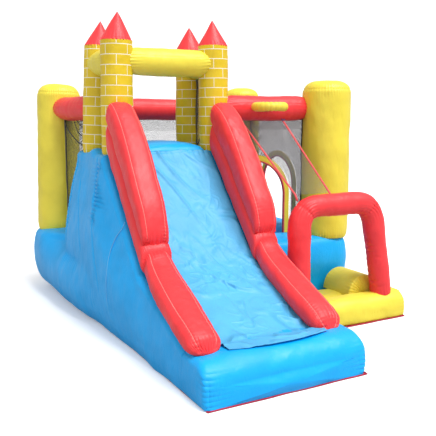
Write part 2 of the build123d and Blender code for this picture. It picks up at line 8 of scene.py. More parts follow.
import bmesh
import bpy
import numpy as np
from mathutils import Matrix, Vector


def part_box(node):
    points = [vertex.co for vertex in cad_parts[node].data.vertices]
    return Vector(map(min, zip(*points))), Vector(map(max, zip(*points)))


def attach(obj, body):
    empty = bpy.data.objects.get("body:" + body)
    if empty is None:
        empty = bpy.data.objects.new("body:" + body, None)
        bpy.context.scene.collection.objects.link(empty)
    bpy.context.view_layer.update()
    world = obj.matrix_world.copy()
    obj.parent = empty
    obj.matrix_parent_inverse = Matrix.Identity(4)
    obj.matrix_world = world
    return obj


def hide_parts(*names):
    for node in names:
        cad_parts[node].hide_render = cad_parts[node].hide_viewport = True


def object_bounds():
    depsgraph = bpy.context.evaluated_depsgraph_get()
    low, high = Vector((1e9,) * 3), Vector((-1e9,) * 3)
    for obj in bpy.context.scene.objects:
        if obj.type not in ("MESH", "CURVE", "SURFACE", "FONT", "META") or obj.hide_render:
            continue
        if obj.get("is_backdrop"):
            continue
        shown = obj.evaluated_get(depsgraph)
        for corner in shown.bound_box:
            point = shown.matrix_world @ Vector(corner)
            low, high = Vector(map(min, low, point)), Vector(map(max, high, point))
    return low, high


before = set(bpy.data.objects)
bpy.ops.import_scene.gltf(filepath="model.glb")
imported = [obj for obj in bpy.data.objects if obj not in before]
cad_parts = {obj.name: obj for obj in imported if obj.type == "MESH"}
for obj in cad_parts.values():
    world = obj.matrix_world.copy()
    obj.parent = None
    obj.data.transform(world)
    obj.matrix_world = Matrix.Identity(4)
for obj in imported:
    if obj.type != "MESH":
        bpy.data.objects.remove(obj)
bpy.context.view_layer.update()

HOUSE = "house"
TIGHT = 0.95                  # how full the air chambers are
GROUND = 0.0002               # how far the lowest fabric stands off the floor


# ---------------------------------------------------------------- numbers over a surface

def field(points, size, seed):
    """Smooth uneven values, mostly from -1 to 1, whose swells are about `size` across."""
    draw = np.random.default_rng(seed)
    swells = 9
    directions = draw.normal(size=(swells, 3))
    directions /= np.linalg.norm(directions, axis=1)[:, None]
    lengths = size * draw.uniform(1.3, 3.2, swells)
    phases = draw.uniform(0, 2 * pi, swells)
    total = np.zeros(points.shape[:-1])
    for direction, length, phase in zip(directions, lengths, phases):
        total += np.sin(points @ direction * (2 * pi / length) + phase)
    return total / sqrt(swells)


def ease(x):
    """0 below 0, 1 above 1, and a smooth step between."""
    x = np.clip(x, 0, 1)
    return x * x * (3 - 2 * x)


def gathers(points, along, away, pitch, depth, reach, seed):
    """Furrows across a seam: `along` it they come every pitch, and `away` from it they fade."""
    wander = 0.3 * pitch * field(points, 7 * pitch, seed)
    crowns = np.abs(np.sin(pi * (along + wander) / pitch)) ** 0.7
    reaches = reach * np.clip(1 + 0.45 * field(points, 2.5 * pitch, seed + 1), 0.35, 1.8)
    strength = np.clip(1 + 0.4 * field(points, 4 * pitch, seed + 2), 0.3, 1.7)
    return -depth * strength * (1 - crowns) * np.exp(-(np.abs(away) / reaches) ** 1.3)


def groove(away, depth, width):
    """A seam line pulled into the surface."""
    return -depth * np.exp(-(np.abs(away) / width) ** 1.5)


def whole_pitch(length, pitch):
    """The pitch nearest to `pitch` that divides a closed seam's length evenly."""
    return length / max(3, round(length / pitch))


def spaced(start, end, count):
    """Places from start to end, closer together towards both."""
    return start + (end - start) * (0.5 - 0.5 * np.cos(np.linspace(0, pi, count)))


def curve_through(points, count):
    """A smooth line through the points, sampled evenly along its length."""
    p = np.array(points, float)
    p = np.vstack([2 * p[0] - p[1], p, 2 * p[-1] - p[-2]])
    steps = np.linspace(0, 1, 24, endpoint=False)[:, None]
    line = []
    for a, b, c, d in zip(p, p[1:], p[2:], p[3:]):
        line.append(0.5 * (2 * b + (c - a) * steps + (2 * a - 5 * b + 4 * c - d) * steps ** 2
                           + (3 * b - a - 3 * c + d) * steps ** 3))
    line = np.vstack([*line, p[-2:-1]])
    return resample(line, count)


def travelled(line):
    """How far along a line each of its points is."""
    return np.concatenate([[0], np.cumsum(np.linalg.norm(np.diff(line, axis=0), axis=1))])


def resample(line, count, closed=False):
    """The line with `count` points, evenly spaced along it."""
    if closed:
        line = np.vstack([line, line[:1]])
    reach = travelled(line)
    at = np.linspace(0, reach[-1], count, endpoint=not closed)
    return np.stack([np.interp(at, reach, line[:, k]) for k in range(line.shape[1])], axis=1)


def rounded(corners, rounds=4):
    """A closed outline with its corners cut smooth."""
    p = np.array(corners, float)
    for _ in range(rounds):
        after = np.roll(p, -1, 0)
        p = np.stack([0.75 * p + 0.25 * after, 0.25 * p + 0.75 * after], 1).reshape(-1, p.shape[1])
    return p


# ---------------------------------------------------------------- meshes from rings of points

def unit(vectors):
    """The vectors at length 1."""
    return vectors / np.maximum(np.linalg.norm(vectors, axis=-1, keepdims=True), 1e-12)


def outward(rings):
    """Unit normals of a closed skin, given as rings of points, pointing out of it."""
    along = np.gradient(rings, axis=0)
    around = np.roll(rings, -1, 1) - np.roll(rings, 1, 1)
    normals = unit(np.cross(around, along))
    from_middle = rings - rings.mean(axis=1, keepdims=True)
    return -normals if (normals * from_middle).sum() < 0 else normals


def push(rings, amount):
    """Moves each point out along its normal; negative amounts go in."""
    return rings + outward(rings) * amount[..., None]


def uneven(rings, amount=0.0025, seed=1):
    """The slight swells and hollows of inflated fabric."""
    return push(rings, amount * field(rings, 0.16, seed) + 0.35 * amount * field(rings, 0.04, seed + 5))


def link(obj):
    bpy.context.scene.collection.objects.link(obj)
    return obj


def free_name(name):
    """The name, or one beside it where a CAD node already has it."""
    return name + "_skin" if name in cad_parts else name


def grid_object(name, points, material, closed=True):
    """A mesh from rows of points. A closed one is a skin of rings with a cap at each end."""
    name = free_name(name)
    points[..., 2] = np.maximum(points[..., 2], GROUND)
    rows, columns = points.shape[:2]
    index = np.arange(rows * columns).reshape(rows, columns)
    after = np.roll(index, -1, 1) if closed else index[:, 1:]
    before = index if closed else index[:, :-1]
    faces = np.stack([before[:-1], after[:-1], after[1:], before[1:]], -1).reshape(-1, 4).tolist()
    vertices = points.reshape(-1, 3)
    wide = np.vstack([points.transpose(1, 0, 2), points[None, :, 0]]).transpose(1, 0, 2)
    across = np.linalg.norm(np.diff(wide, axis=1), axis=2).max(axis=0)
    u = np.concatenate([[0], np.cumsum(across)])[:columns + 1]
    v = np.concatenate([[0], np.cumsum(np.linalg.norm(np.diff(points, axis=0), axis=2).mean(axis=1))])
    last = columns if closed else columns - 1
    corner_u = np.stack([u[:last], u[1:last + 1], u[1:last + 1], u[:last]], -1)
    corner_v = np.stack([v[:-1], v[:-1], v[1:], v[1:]], -1)
    uv = np.stack(np.broadcast_arrays(corner_u[None], corner_v[:, None]), -1).reshape(-1, 2)
    if closed:
        caps = (index[0][::-1], index[-1])
        vertices = np.vstack([vertices, points[0].mean(0), points[-1].mean(0)])
        for middle, ring in zip((rows * columns, rows * columns + 1), caps):
            faces += [[a, b, middle] for a, b in zip(ring.tolist(), np.roll(ring, -1).tolist())]
            places = vertices[np.stack([ring, np.roll(ring, -1), np.full(columns, middle)], -1)]
            uv = np.vstack([uv, places.reshape(-1, 3)[:, :2]])
    mesh = bpy.data.meshes.new(name)
    mesh.from_pydata(vertices.tolist(), [], faces)
    mesh.uv_layers.new(name="UVMap").data.foreach_set("uv", uv.astype(np.float32).ravel())
    if closed:
        mesh.calc_loop_triangles()
        corner = np.array([t.vertices for t in mesh.loop_triangles])
        a, b, c = (vertices[corner[:, k]] for k in range(3))
        if (a * np.cross(b, c)).sum() < 0:
            mesh.flip_normals()
    mesh.shade_smooth()
    obj = link(bpy.data.objects.new(name, mesh))
    obj.data.materials.append(material)
    return obj


def place(obj, *nodes, slot=None, fill=None):
    """Fixes a piece to the house, with the CAD nodes that it stands for."""
    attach(obj, HOUSE)
    if nodes:
        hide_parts(*nodes)
    return obj


def chamber(name, rings, material, *nodes, fill=TIGHT):
    """An air chamber's skin, which stands for the CAD node of its name or for the nodes given."""
    return place(grid_object(name, rings, material), *(nodes or (name,)), fill=fill)


def tube_rings(centres, radii, columns, first_side=None):
    """Round rings along a line of centres; radii is one number or one for each centre."""
    centres = np.array(centres, float)
    ahead = unit(np.gradient(centres, axis=0))
    side = np.array(first_side if first_side is not None else
                    ((0, 0, 1) if abs(ahead[0][2]) < 0.9 else (1, 0, 0)), float)
    radii = np.broadcast_to(radii, len(centres))
    turn = np.linspace(0, 2 * pi, columns, endpoint=False)
    rings = []
    for centre, direction, radius in zip(centres, ahead, radii):
        side = unit(side - (side @ direction) * direction)
        other = np.cross(direction, side)
        rings.append(centre + radius * (np.cos(turn)[:, None] * side + np.sin(turn)[:, None] * other))
    return np.array(rings)


def piping(name, line, radius, material):
    """A thin round welt along a line of points."""
    return place(grid_object(name, tube_rings(line, radius, 8), material))


def ribbon(name, line, across, width, thickness, material, slot=None):
    """Flat webbing along a line of points, `across` being its width's direction."""
    line = np.array(line, float)
    across = unit(np.broadcast_to(np.array(across, float), line.shape))
    facing = unit(np.cross(np.gradient(line, axis=0), across))
    across, facing = across * width / 2, facing * thickness / 2
    rings = np.stack([line - across - facing, line + across - facing,
                      line + across + facing, line - across + facing], axis=1)
    return place(grid_object(name, rings, material), slot=slot)


# ---------------------------------------------------------------- materials

def nodes_of(name):
    """A new material, its node tree and its shader."""
    material = bpy.data.materials.new(name)
    material.use_nodes = True
    tree = material.node_tree
    return material, tree, tree.nodes["Principled BSDF"]


def feed(tree, sockets, values):
    """Sets or links each input socket; a value is a number, a colour or a socket."""
    for socket, value in zip(sockets, values):
        if isinstance(value, bpy.types.NodeSocket):
            tree.links.new(value, socket)
        else:
            socket.default_value = value


def add_node(tree, kind, inputs=None, **settings):
    """A node with its settings and its inputs by name."""
    node = tree.nodes.new("ShaderNode" + kind)
    for key, value in settings.items():
        setattr(node, key, value)
    inputs = inputs or {}
    feed(tree, [node.inputs[key] for key in inputs], inputs.values())
    return node


def mixed(tree, share, first, second, blend="MIX"):
    """The colour between two, by a share that is a number or a socket."""
    node = add_node(tree, "Mix", data_type="RGBA", blend_type=blend)
    feed(tree, [node.inputs[number] for number in (0, 6, 7)], (share, first, second))
    return node.outputs[2]


def ranged(tree, value, low, high, to_low=0.0, to_high=1.0):
    """The value's share of the way from low to high, on another scale."""
    return add_node(tree, "MapRange", {"Value": value, "From Min": low, "From Max": high,
                                       "To Min": to_low, "To Max": to_high}).outputs[0]


def calculated(tree, operation, first, second):
    """A sum on two values, each a number or a socket."""
    node = add_node(tree, "Math", operation=operation)
    feed(tree, node.inputs, (first, second))
    return node.outputs[0]


def waves(tree, uv, direction, pitch, distortion=0.0):
    """Even ridges across one direction of the surface, one for each pitch."""
    node = add_node(tree, "TexWave", {"Vector": uv, "Scale": pi / (10 * pitch),
                                      "Distortion": distortion}, bands_direction=direction)
    return node.outputs["Fac"]


WEAVE = 0.0011                # from one thread of the coated fabric to the next
RIB = 0.0016                  # from one rib of the woven tape to the next


def fabric(name, colour, roughness=0.42, bricks=False, crumple=0.0):
    """Coated woven polyester: fine weave, soft creases, slightly uneven colour."""
    material, tree, shader = nodes_of(name)
    place_in = add_node(tree, "TexCoord")
    uv, spot = place_in.outputs["UV"], place_in.outputs["Object"]
    base = (*colour, 1)
    if bricks:
        mortar = add_node(tree, "TexBrick", {
            "Vector": uv, "Color1": base, "Color2": (*[0.93 * c for c in colour], 1),
            "Mortar": (0.92, 0.90, 0.74, 1), "Scale": 1.0, "Mortar Size": 0.0031,
            "Mortar Smooth": 0.25, "Bias": 0.0, "Brick Width": BRICK_LENGTH,
            "Row Height": BRICK_HEIGHT})
        base = mortar.outputs["Color"]
    blotches = add_node(tree, "TexNoise", {"Vector": spot, "Scale": 5.0, "Detail": 4.0}).outputs[0]
    darker = mixed(tree, 1.0, base, (0.80, 0.78, 0.80, 1), "MULTIPLY")
    shade = mixed(tree, ranged(tree, blotches, 0.42, 0.75, 0.0, 0.5), base, darker)
    dust = add_node(tree, "TexNoise", {"Vector": spot, "Scale": 240.0, "Detail": 3.0}).outputs[0]
    paler = mixed(tree, 1.0, shade, (0.012, 0.012, 0.012, 1), "ADD")
    shade = mixed(tree, ranged(tree, dust, 0.55, 0.8, 0.0, 0.3), shade, paler)
    tree.links.new(shade, shader.inputs["Base Color"])
    gloss = ranged(tree, blotches, 0.3, 0.7, roughness - 0.05, roughness + 0.07)
    tree.links.new(gloss, shader.inputs["Roughness"])
    shader.inputs["Specular IOR Level"].default_value = 0.42
    threads = [waves(tree, uv, direction, WEAVE, distortion=0.4) for direction in "XY"]
    weave = calculated(tree, "MULTIPLY", *threads)
    fine = add_node(tree, "Bump", {"Height": weave, "Strength": 0.35, "Distance": 0.0003})
    stretched = add_node(tree, "Mapping", {"Vector": spot, "Scale": (1.0, 1.0, 0.55)})
    creases = add_node(tree, "TexNoise", {"Vector": stretched.outputs[0], "Scale": 17.0,
                                          "Detail": 5.0, "Roughness": 0.55, "Distortion": 0.6})
    soft = add_node(tree, "Bump", {"Height": creases.outputs[0], "Normal": fine.outputs[0],
                                   "Strength": 0.5, "Distance": 0.008})
    if crumple:
        kinks = add_node(tree, "TexNoise", {"Vector": spot, "Scale": 5.5, "Detail": 3.0,
                                            "Distortion": 0.9}, noise_type="RIDGED_MULTIFRACTAL")
        soft = add_node(tree, "Bump", {"Height": kinks.outputs[0], "Normal": soft.outputs[0],
                                       "Strength": 0.6, "Distance": crumple})
    tree.links.new(soft.outputs[0], shader.inputs["Normal"])
    return material


def netting(name, colour, cover):
    """Woven safety net: a fine square mesh with see-through holes."""
    material, tree, shader = nodes_of(name)
    uv = add_node(tree, "TexCoord").outputs["UV"]
    threads = [waves(tree, uv, direction, NET_MESH) for direction in "XY"]
    thread = calculated(tree, "MAXIMUM", *threads)
    edge = 0.5 + 0.5 * cos(pi * (1 - sqrt(1 - cover)))
    alpha = ranged(tree, thread, edge - 0.04, edge + 0.04)
    tree.links.new(alpha, shader.inputs["Alpha"])
    tone = mixed(tree, thread, (*[0.6 * c for c in colour], 1), (*colour, 1))
    tree.links.new(tone, shader.inputs["Base Color"])
    shader.inputs["Roughness"].default_value = 0.6
    bump = add_node(tree, "Bump", {"Height": thread, "Strength": 0.5, "Distance": 0.0006})
    tree.links.new(bump.outputs[0], shader.inputs["Normal"])
    return material


def webbing(name, colour):
    """Woven tape with ribs across it."""
    material, tree, shader = nodes_of(name)
    uv = add_node(tree, "TexCoord").outputs["UV"]
    ribs = waves(tree, uv, "Y", RIB)
    tone = mixed(tree, ribs, (*[0.75 * c for c in colour], 1), (*colour, 1))
    tree.links.new(tone, shader.inputs["Base Color"])
    shader.inputs["Roughness"].default_value = 0.62
    shader.inputs["Sheen Weight"].default_value = 0.2
    bump = add_node(tree, "Bump", {"Height": ribs, "Strength": 0.6, "Distance": 0.0005})
    tree.links.new(bump.outputs[0], shader.inputs["Normal"])
    return material


def moulded(name, colour, roughness=0.42, metal=0.0, grain=900.0):
    """Moulded plastic or plain metal with a fine grain and faint handling marks."""
    material, tree, shader = nodes_of(name)
    spot = add_node(tree, "TexCoord").outputs["Object"]
    marks = add_node(tree, "TexNoise", {"Vector": spot, "Scale": 14.0, "Detail": 6.0}).outputs[0]
    tone = mixed(tree, ranged(tree, marks, 0.35, 0.75), (*colour, 1), (*[0.78 * c for c in colour], 1))
    tree.links.new(tone, shader.inputs["Base Color"])
    tree.links.new(ranged(tree, marks, 0.3, 0.7, roughness - 0.08, roughness + 0.12),
                   shader.inputs["Roughness"])
    shader.inputs["Metallic"].default_value = metal
    grains = add_node(tree, "TexNoise", {"Vector": spot, "Scale": grain, "Detail": 2.0}).outputs[0]
    bump = add_node(tree, "Bump", {"Height": grains, "Strength": 0.25, "Distance": 0.0003})
    tree.links.new(bump.outputs[0], shader.inputs["Normal"])
    return material


BRICK_LENGTH, BRICK_HEIGHT = 0.19, 0.076
NET_MESH = 0.003

RED, YELLOW, BLUE, SKY = "red_fabric", "yellow_fabric", "blue_fabric", "sky_fabric"
red = fabric(RED, (0.88, 0.040, 0.047))
yellow = fabric(YELLOW, (0.83, 0.69, 0.060))
brick = fabric("brick_fabric", (0.78, 0.56, 0.014), bricks=True)
blue = fabric(BLUE, (0.0, 0.40, 0.90))
sky = fabric(SKY, (0.085, 0.43, 0.74), roughness=0.48, crumple=0.06)
crimson = fabric("ground_fabric", (0.42, 0.006, 0.035), roughness=0.6)
# Pale red for the rails' welt piping: a painted highlight along the seams' crests.
painted_highlight_red = fabric("red_welt_painted_highlight", (0.86, 0.22, 0.20), roughness=0.6)
# Pale blue for the welt on the left side: a painted highlight along its crease.
painted_highlight_blue = fabric("blue_welt_painted_highlight", (0.16, 0.50, 0.86), roughness=0.6)
net = netting("net_mesh", (0.12, 0.12, 0.135), 0.60)
open_net = netting("net_mesh_open", (0.12, 0.12, 0.135), 0.30)
# A slightly denser net for the left side, with near-black threads that are painted shade.
shade_dark_net = netting("net_mesh_painted_shade", (0.05, 0.05, 0.04), 0.62)
red_tape = webbing("red_webbing", (0.80, 0.06, 0.07))
black_tape = webbing("black_webbing", (0.022, 0.022, 0.024))
teeth_plastic = moulded("zip_teeth_plastic", (0.02, 0.02, 0.022), 0.35)


# ---------------------------------------------------------------- posts and spires

COLUMN_TURNS, TOWER_TURNS = 288, 208
SIDE_ROWS = 84                # rings of a post below its dome


def middle(node):
    low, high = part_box(node)
    return (low + high) / 2


def radius_of(node):
    low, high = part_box(node)
    return (high.x - low.x) / 2


def post_rings(node, dome, turns, foot_pinch, sink=0.012, shifts=(0.0, 0.0), rise=0.0):
    """Rings of an upright post: gathered at its foot and, if dome > 0, round at its top.

    It sinks into what it stands on, and its foot and head may stand a little off the middle.
    """
    low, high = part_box(node)
    centre, radius, top = (low + high) / 2, (high.x - low.x) / 2, high.z + rise
    side_top = top - dome
    heights = spaced(low.z - sink, side_top, SIDE_ROWS)
    radii = radius * (1 - foot_pinch * np.exp(-(heights - heights[0]) / 0.028))
    turn_up = np.linspace(0, pi / 2, 26)[1:-1]
    if dome:
        heights = np.append(heights, side_top + dome * np.sin(turn_up))
        radii = np.append(radii, radius * np.cos(turn_up) ** 0.62)
    middles = centre.x + np.interp(heights, (low.z, top), shifts)
    centres = np.stack([middles, np.full(len(heights), centre.y), heights], 1)
    rings = tube_rings(centres, radii, turns, first_side=(0, 1, 0))
    return rings, travelled(np.stack([heights, radii], 1)), radius


def around_of(rings, radius):
    """Distance round each ring, for seams that go all the way round."""
    turn = np.linspace(0, 2 * pi, rings.shape[1], endpoint=False)
    return np.broadcast_to(turn * radius, rings.shape[:2])


def column(node, shifts, rise, seed):
    """A round-headed post, with a sewn rim below its dome."""
    rings, travel, radius = post_rings(node, 0.115, COLUMN_TURNS, 0.10, 0.034, shifts, rise)
    pitch = whole_pitch(2 * pi * radius, 0.024)
    around = around_of(rings, radius)
    rim = travel[SIDE_ROWS - 1] + 0.035
    away_rim = (travel - rim)[:, None]
    shape = gathers(rings, around, away_rim, pitch, 0.0045, 0.040, seed)
    shape += groove(away_rim, 0.0035, 0.006)
    shape += gathers(rings, around, travel[:, None], pitch, 0.0045, 0.060, seed + 3)
    shape += groove(np.abs(around - pi * radius * 0.32), 0.0016, 0.005)
    rings = uneven(push(rings, shape), 0.003, seed)
    return chamber(node, rings, yellow)


column("column_left_rear", (-0.012, 0.034), 0.0, 11)
column("column_right_rear", (0.005, -0.005), 0.0, 12)
column("column_right_front", (0.004, -0.004), 0.017, 13)


def tower(node, shifts, seed):
    """A brick-patterned post that carries a spire."""
    rings, travel, radius = post_rings(node, 0.0, TOWER_TURNS, 0.10, shifts=shifts)
    pitch = whole_pitch(2 * pi * radius, 0.026)
    around = around_of(rings, radius)
    away_foot = travel[:, None]
    shape = gathers(rings, around, away_foot, pitch, 0.007, 0.075, seed)
    shape += gathers(rings, around, travel[-1] - away_foot, pitch, 0.003, 0.03, seed + 4)
    rings = uneven(push(rings, shape), 0.0028, seed)
    return chamber(node, rings, brick)


def spire(node, foot_shift, tip_shift, rise, seed):
    """A cone whose hem stands a little proud of the tower below it."""
    low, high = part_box(node)
    centre, radius = (low + high) / 2, (high.x - low.x) / 2 * 1.03
    share = np.concatenate([[0.0, 0.0], spaced(0.004, 0.985, 54), [1.0]])
    radii = radius * np.maximum(1 - share, 0.016) ** 0.94
    radii[0], radii[1] = 0.86 * radius, 0.985 * radius
    heights = low.z + (high.z + rise - low.z) * share
    heights[0] -= 0.003
    heights[1] -= 0.005
    middles = centre.x + foot_shift + (tip_shift - foot_shift) * share
    centres = np.stack([middles, np.full(len(share), centre.y), heights], 1)
    rings = tube_rings(centres, radii, 160, first_side=(0, 1, 0))
    around = around_of(rings, radius)
    away = (heights - low.z)[:, None]
    pitch = whole_pitch(2 * pi * radius, 0.033)
    shape = gathers(rings, around, away, pitch, 0.0035, 0.03, seed) * (share[:, None] > 0)
    shape += groove(away - 0.012, 0.0012, 0.003)
    turn = around / radius
    for seam in (0.25 * pi, 1.25 * pi):
        shape += groove((turn - seam) * np.maximum(radii, 0.004)[:, None], 0.0012, 0.004)
    rings = push(rings, shape + 0.0012 * field(rings, 0.08, seed))
    return chamber(node, rings, red)


for number, (corner, foot_shift, head_shift, tip_shift, rise) in enumerate((
        ("front_left", -0.006, 0.006, 0.018, 0.018), ("front_right", 0.0, -0.014, -0.019, 0.0),
        ("rear_left", -0.018, 0.026, 0.042, 0.0), ("rear_right", 0.0, 0.0, 0.0, 0.0))):
    tower("tower_" + corner, (foot_shift, head_shift), 20 + number)
    spire("spire_" + corner, head_shift, tip_shift, rise, 30 + number)


# ---------------------------------------------------------------- beams between the posts

BEAM_TURNS = 176
FRONT_SETBACK = 0.070         # the front beam and net meet their column this far behind its middle


def span(start_post, end_post):
    """Where a beam or a net starts and ends: the middles of its posts, but for the front column."""
    start, end = middle(start_post), middle(end_post)
    start.z = end.z = 0
    if end_post == "column_right_front":
        end.y += FRONT_SETBACK
    return start, end


def beam(node, start_post, end_post, material, seed):
    """A tube from post to post; each end is sewn to its post and gathered there."""
    low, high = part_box(node)
    radius, height = (high.z - low.z) / 2, (low.z + high.z) / 2
    start, end = span(start_post, end_post)
    start.z = end.z = height
    direction = (end - start).normalized()
    length = (end - start).length
    reach = spaced(0.35 * radius_of(start_post), length - 0.35 * radius_of(end_post), 120)
    centres = np.array([start + direction * float(r) for r in reach])
    centres[:, 2] -= 0.008 * np.sin(pi * reach / length)
    rings = tube_rings(centres, radius, BEAM_TURNS, first_side=(0, 0, 1))
    around = around_of(rings, radius)
    pitch = whole_pitch(2 * pi * radius, 0.026)
    shape = 0 * around
    for post in (start_post, end_post):
        flat = rings[..., :2] - np.array(middle(post))[:2]
        away = np.linalg.norm(flat, axis=-1) - radius_of(post)
        shape += gathers(rings, around, np.maximum(away, 0), pitch, 0.0045, 0.045, seed)
        shape -= 0.010 * np.exp(-(np.maximum(away, 0) / 0.03))
    shape += groove(around - 1.2 * radius, 0.0012, 0.004)
    rings = uneven(push(rings, shape), 0.0022, seed)
    return chamber(node, rings, material)


beam("beam_left", "column_left_rear", "tower_rear_left", red, 41)
beam("beam_rear", "column_left_rear", "column_right_rear", red, 42)
beam("beam_right", "column_right_front", "column_right_rear", red, 43)
beam("beam_front", "tower_front_right", "column_right_front", red, 44)
beam("tower_beam_front", "tower_front_left", "tower_front_right", yellow, 45)
beam("tower_beam_left", "tower_front_left", "tower_rear_left", yellow, 46)
beam("tower_beam_right", "tower_front_right", "tower_rear_right", yellow, 47)


# ---------------------------------------------------------------- base walls with round corners

WALL_COLUMNS = 160
low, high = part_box("base_wall_right")
WALL_HALF = (high.x - low.x) / 2
BASE_TOP = high.z
LEFT_WALL = (0.045, 0.262)    # foot and swell of the walls on the left, which roll outwards
RIGHT_WALL = (0.155, 0.198)
FRONT_WALL = (0.175, 0.216)
TUBE_HEIGHT, TUBE_SWELL = 0.54, 0.210   # of the air tube along the foot of the free left side
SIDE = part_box("slide_body")[1].x        # half the slide's width


def foot_tube(y, z):
    """How far the tube at the foot of the left side stands from X = 0; it dies away forwards."""
    strength = TUBE_SWELL * ease((y + 0.55) / 1.15) ** 0.6
    return SIDE + strength * np.sqrt(np.clip(1 - (2 * z / TUBE_HEIGHT - 1) ** 2, 0, 1))


def outer_line(foot, swell):
    """Outer half of a base wall's cross-section: (distance outwards from its middle, height)."""
    return curve_through([
        (foot, 0.0), (0.62 * swell + 0.38 * foot, 0.09), (0.93 * swell, 0.23), (swell, 0.38),
        (0.94 * swell, 0.50), (0.82 * swell, BASE_TOP - 0.035), (0.55 * swell, BASE_TOP - 0.006),
        (0.0, BASE_TOP + 0.008)], WALL_COLUMNS // 2)


def base_swells(rings):
    """The same slight swells for walls and corners, so that they stay flush where they meet."""
    return 0.005 * field(rings, 0.35, 54) * ease(rings[..., 2] / 0.1)


def base_wall(node, section, run, sign, fixed, start, end):
    """A straight wall along X (run 0) or Y (run 1); sign is the way outwards, fixed its middle."""
    line = outer_line(*section)
    inner = curve_through([(0.0, BASE_TOP + 0.008), (-0.12, BASE_TOP), (-0.9 * WALL_HALF, 0.52),
                           (-WALL_HALF, 0.36), (-0.98 * WALL_HALF, 0.1), (-0.85 * WALL_HALF, 0.0)],
                          WALL_COLUMNS // 2 + 1)[1:]
    outline = np.vstack([line, inner])
    places = spaced(start, end, 90)
    rings = np.zeros((len(places), len(outline), 3))
    rings[..., run] = places[:, None]
    rings[..., 1 - run] = fixed + sign * outline[:, 0]
    rings[..., 2] = outline[:, 1]
    if node == "base_wall_left":
        half = len(line)
        narrow = -foot_tube(np.full(half, start), line[:, 1])
        share = ease((end - 0.15 - places) / 0.5)[:, None]
        rings[:, :half, 0] = (1 - share) * rings[:, :half, 0] + share * narrow
    rings = push(rings, base_swells(rings))
    return chamber(node, rings, blue)


def drum(name, post, foot_swell, seed):
    """A round corner of the base, under a column."""
    line = np.maximum(outer_line(*foot_swell), (0.004, 0))
    centre, seam = middle(post), 0.90 * radius_of(post)
    turn = np.linspace(0, 2 * pi, 280, endpoint=False)
    rings = np.zeros((len(line), len(turn), 3))
    rings[..., 0] = centre.x + line[:, :1] * np.cos(turn)
    rings[..., 1] = centre.y + line[:, :1] * np.sin(turn)
    rings[..., 2] = line[:, 1:]
    around = around_of(rings, seam)
    travel = travelled(line)
    upper = line[:, 1] > 0.45
    at_seam = travel[np.argmin(np.where(upper, np.abs(line[:, 0] - seam), np.inf))]
    away = (travel - at_seam)[:, None]
    shape = gathers(rings, around, away, whole_pitch(2 * pi * seam, 0.030), 0.006, 0.05, seed)
    shape += groove(away, 0.005, 0.012) + base_swells(rings)
    return place(grid_object(name, push(rings, shape), blue), fill=TIGHT)


left_rear, right_rear = middle("column_left_rear"), middle("column_right_rear")
right_front = middle("column_right_front")
PLATFORM_FRONT, PLATFORM_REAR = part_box("platform_block")[0].y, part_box("platform_block")[1].y
base_wall("base_wall_left", LEFT_WALL, 1, -1, left_rear.x, PLATFORM_REAR - 0.02, left_rear.y)
base_wall("base_wall_rear", LEFT_WALL, 0, 1, left_rear.y, left_rear.x, right_rear.x)
base_wall("base_wall_right", RIGHT_WALL, 1, 1, right_rear.x, right_front.y, right_rear.y)
base_wall("base_wall_front", FRONT_WALL, 0, -1, right_front.y, SIDE - 0.03, right_front.x)
drum("base_drum_left_rear", "column_left_rear", LEFT_WALL, 55)
drum("base_drum_right_rear", "column_right_rear", (0.110, 0.226), 56)
drum("base_drum_right_front", "column_right_front", (0.175, 0.216), 57)


# ---------------------------------------------------------------- platform, slide and landing

PLATFORM_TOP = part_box("platform_block")[1].z
landing_low, landing_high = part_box("landing_bolster")
SLIDE_FRONT, LANDING_REAR, LANDING_TOP = landing_low.y, landing_high.y, landing_high.z
KNEE_Y, KNEE_Z = -0.787, 0.570
FRONT_ROUNDING = 0.14


def ramp(y):
    """Height of the slide's surface."""
    return np.interp(y, [LANDING_REAR, KNEE_Y, PLATFORM_FRONT], [LANDING_TOP, KNEE_Z, PLATFORM_TOP])


def front_inset(y, radius):
    """How far the landing bolster has rounded off, near the very front."""
    left = np.clip(radius - (y - SLIDE_FRONT), 0, radius)
    return radius - np.sqrt(radius ** 2 - left ** 2)


def top_at(y):
    return ramp(y) - front_inset(y, FRONT_ROUNDING)


def left_side(y, z):
    """How far the free left side stands from X = 0: a swelling wall above the foot tube."""
    share = np.clip(z / np.maximum(top_at(y), 0.05), 0, 1)
    belly = 0.020 + 0.125 * ease((y + 1.55) / 1.7)
    lean = 0.030 * ease((y + 0.2) / 0.5) * share
    wall = SIDE - lean + belly * np.sin(pi * share ** 0.8) ** 0.9
    tube = foot_tube(y, z)
    softness = 0.014 + 0.07 * (1 - ease((y + 0.2) / 0.6))
    overlap = np.maximum(softness - np.abs(wall - tube), 0)
    return np.maximum(wall, tube) + overlap ** 2 / (4 * softness)


def right_side(y, z):
    top = top_at(y)
    return SIDE + 0.012 * np.sin(pi * np.clip(z / np.maximum(top, 0.05), 0, 1))


def block_rings(places, crown, edge=0.045):
    """Upright sections of the blue body, from the ground up one side, over and down the other."""
    foot = 0.03
    side = spaced(0, 1, 176)
    over = np.linspace(0, 1, 74)[1:-1]
    under = np.linspace(0, 1, 16)[1:-1]
    rings = []
    for y in places:
        top = float(top_at(y))
        radius = min(edge, 0.4 * top)
        z = side * top
        near_top = np.clip(radius - (top - z), 0, radius)
        near_foot = np.clip(foot - z, 0, foot)
        inset = radius - np.sqrt(radius ** 2 - near_top ** 2)
        inset += 0.4 * (foot - np.sqrt(foot ** 2 - near_foot ** 2)) + front_inset(y, 0.035)
        left, right = -left_side(y, z) + inset, right_side(y, z) - inset
        top_x = left[-1] + (right[-1] - left[-1]) * over
        top_z = top + crown * np.sin(pi * over) ** 0.5
        foot_x = right[0] + (left[0] - right[0]) * under
        x = np.concatenate([left, top_x, right[::-1], foot_x])
        height = np.concatenate([z, top_z, z[::-1], 0 * under])
        rings.append(np.stack([x, np.full(len(x), y), height], 1))
    return np.array(rings)


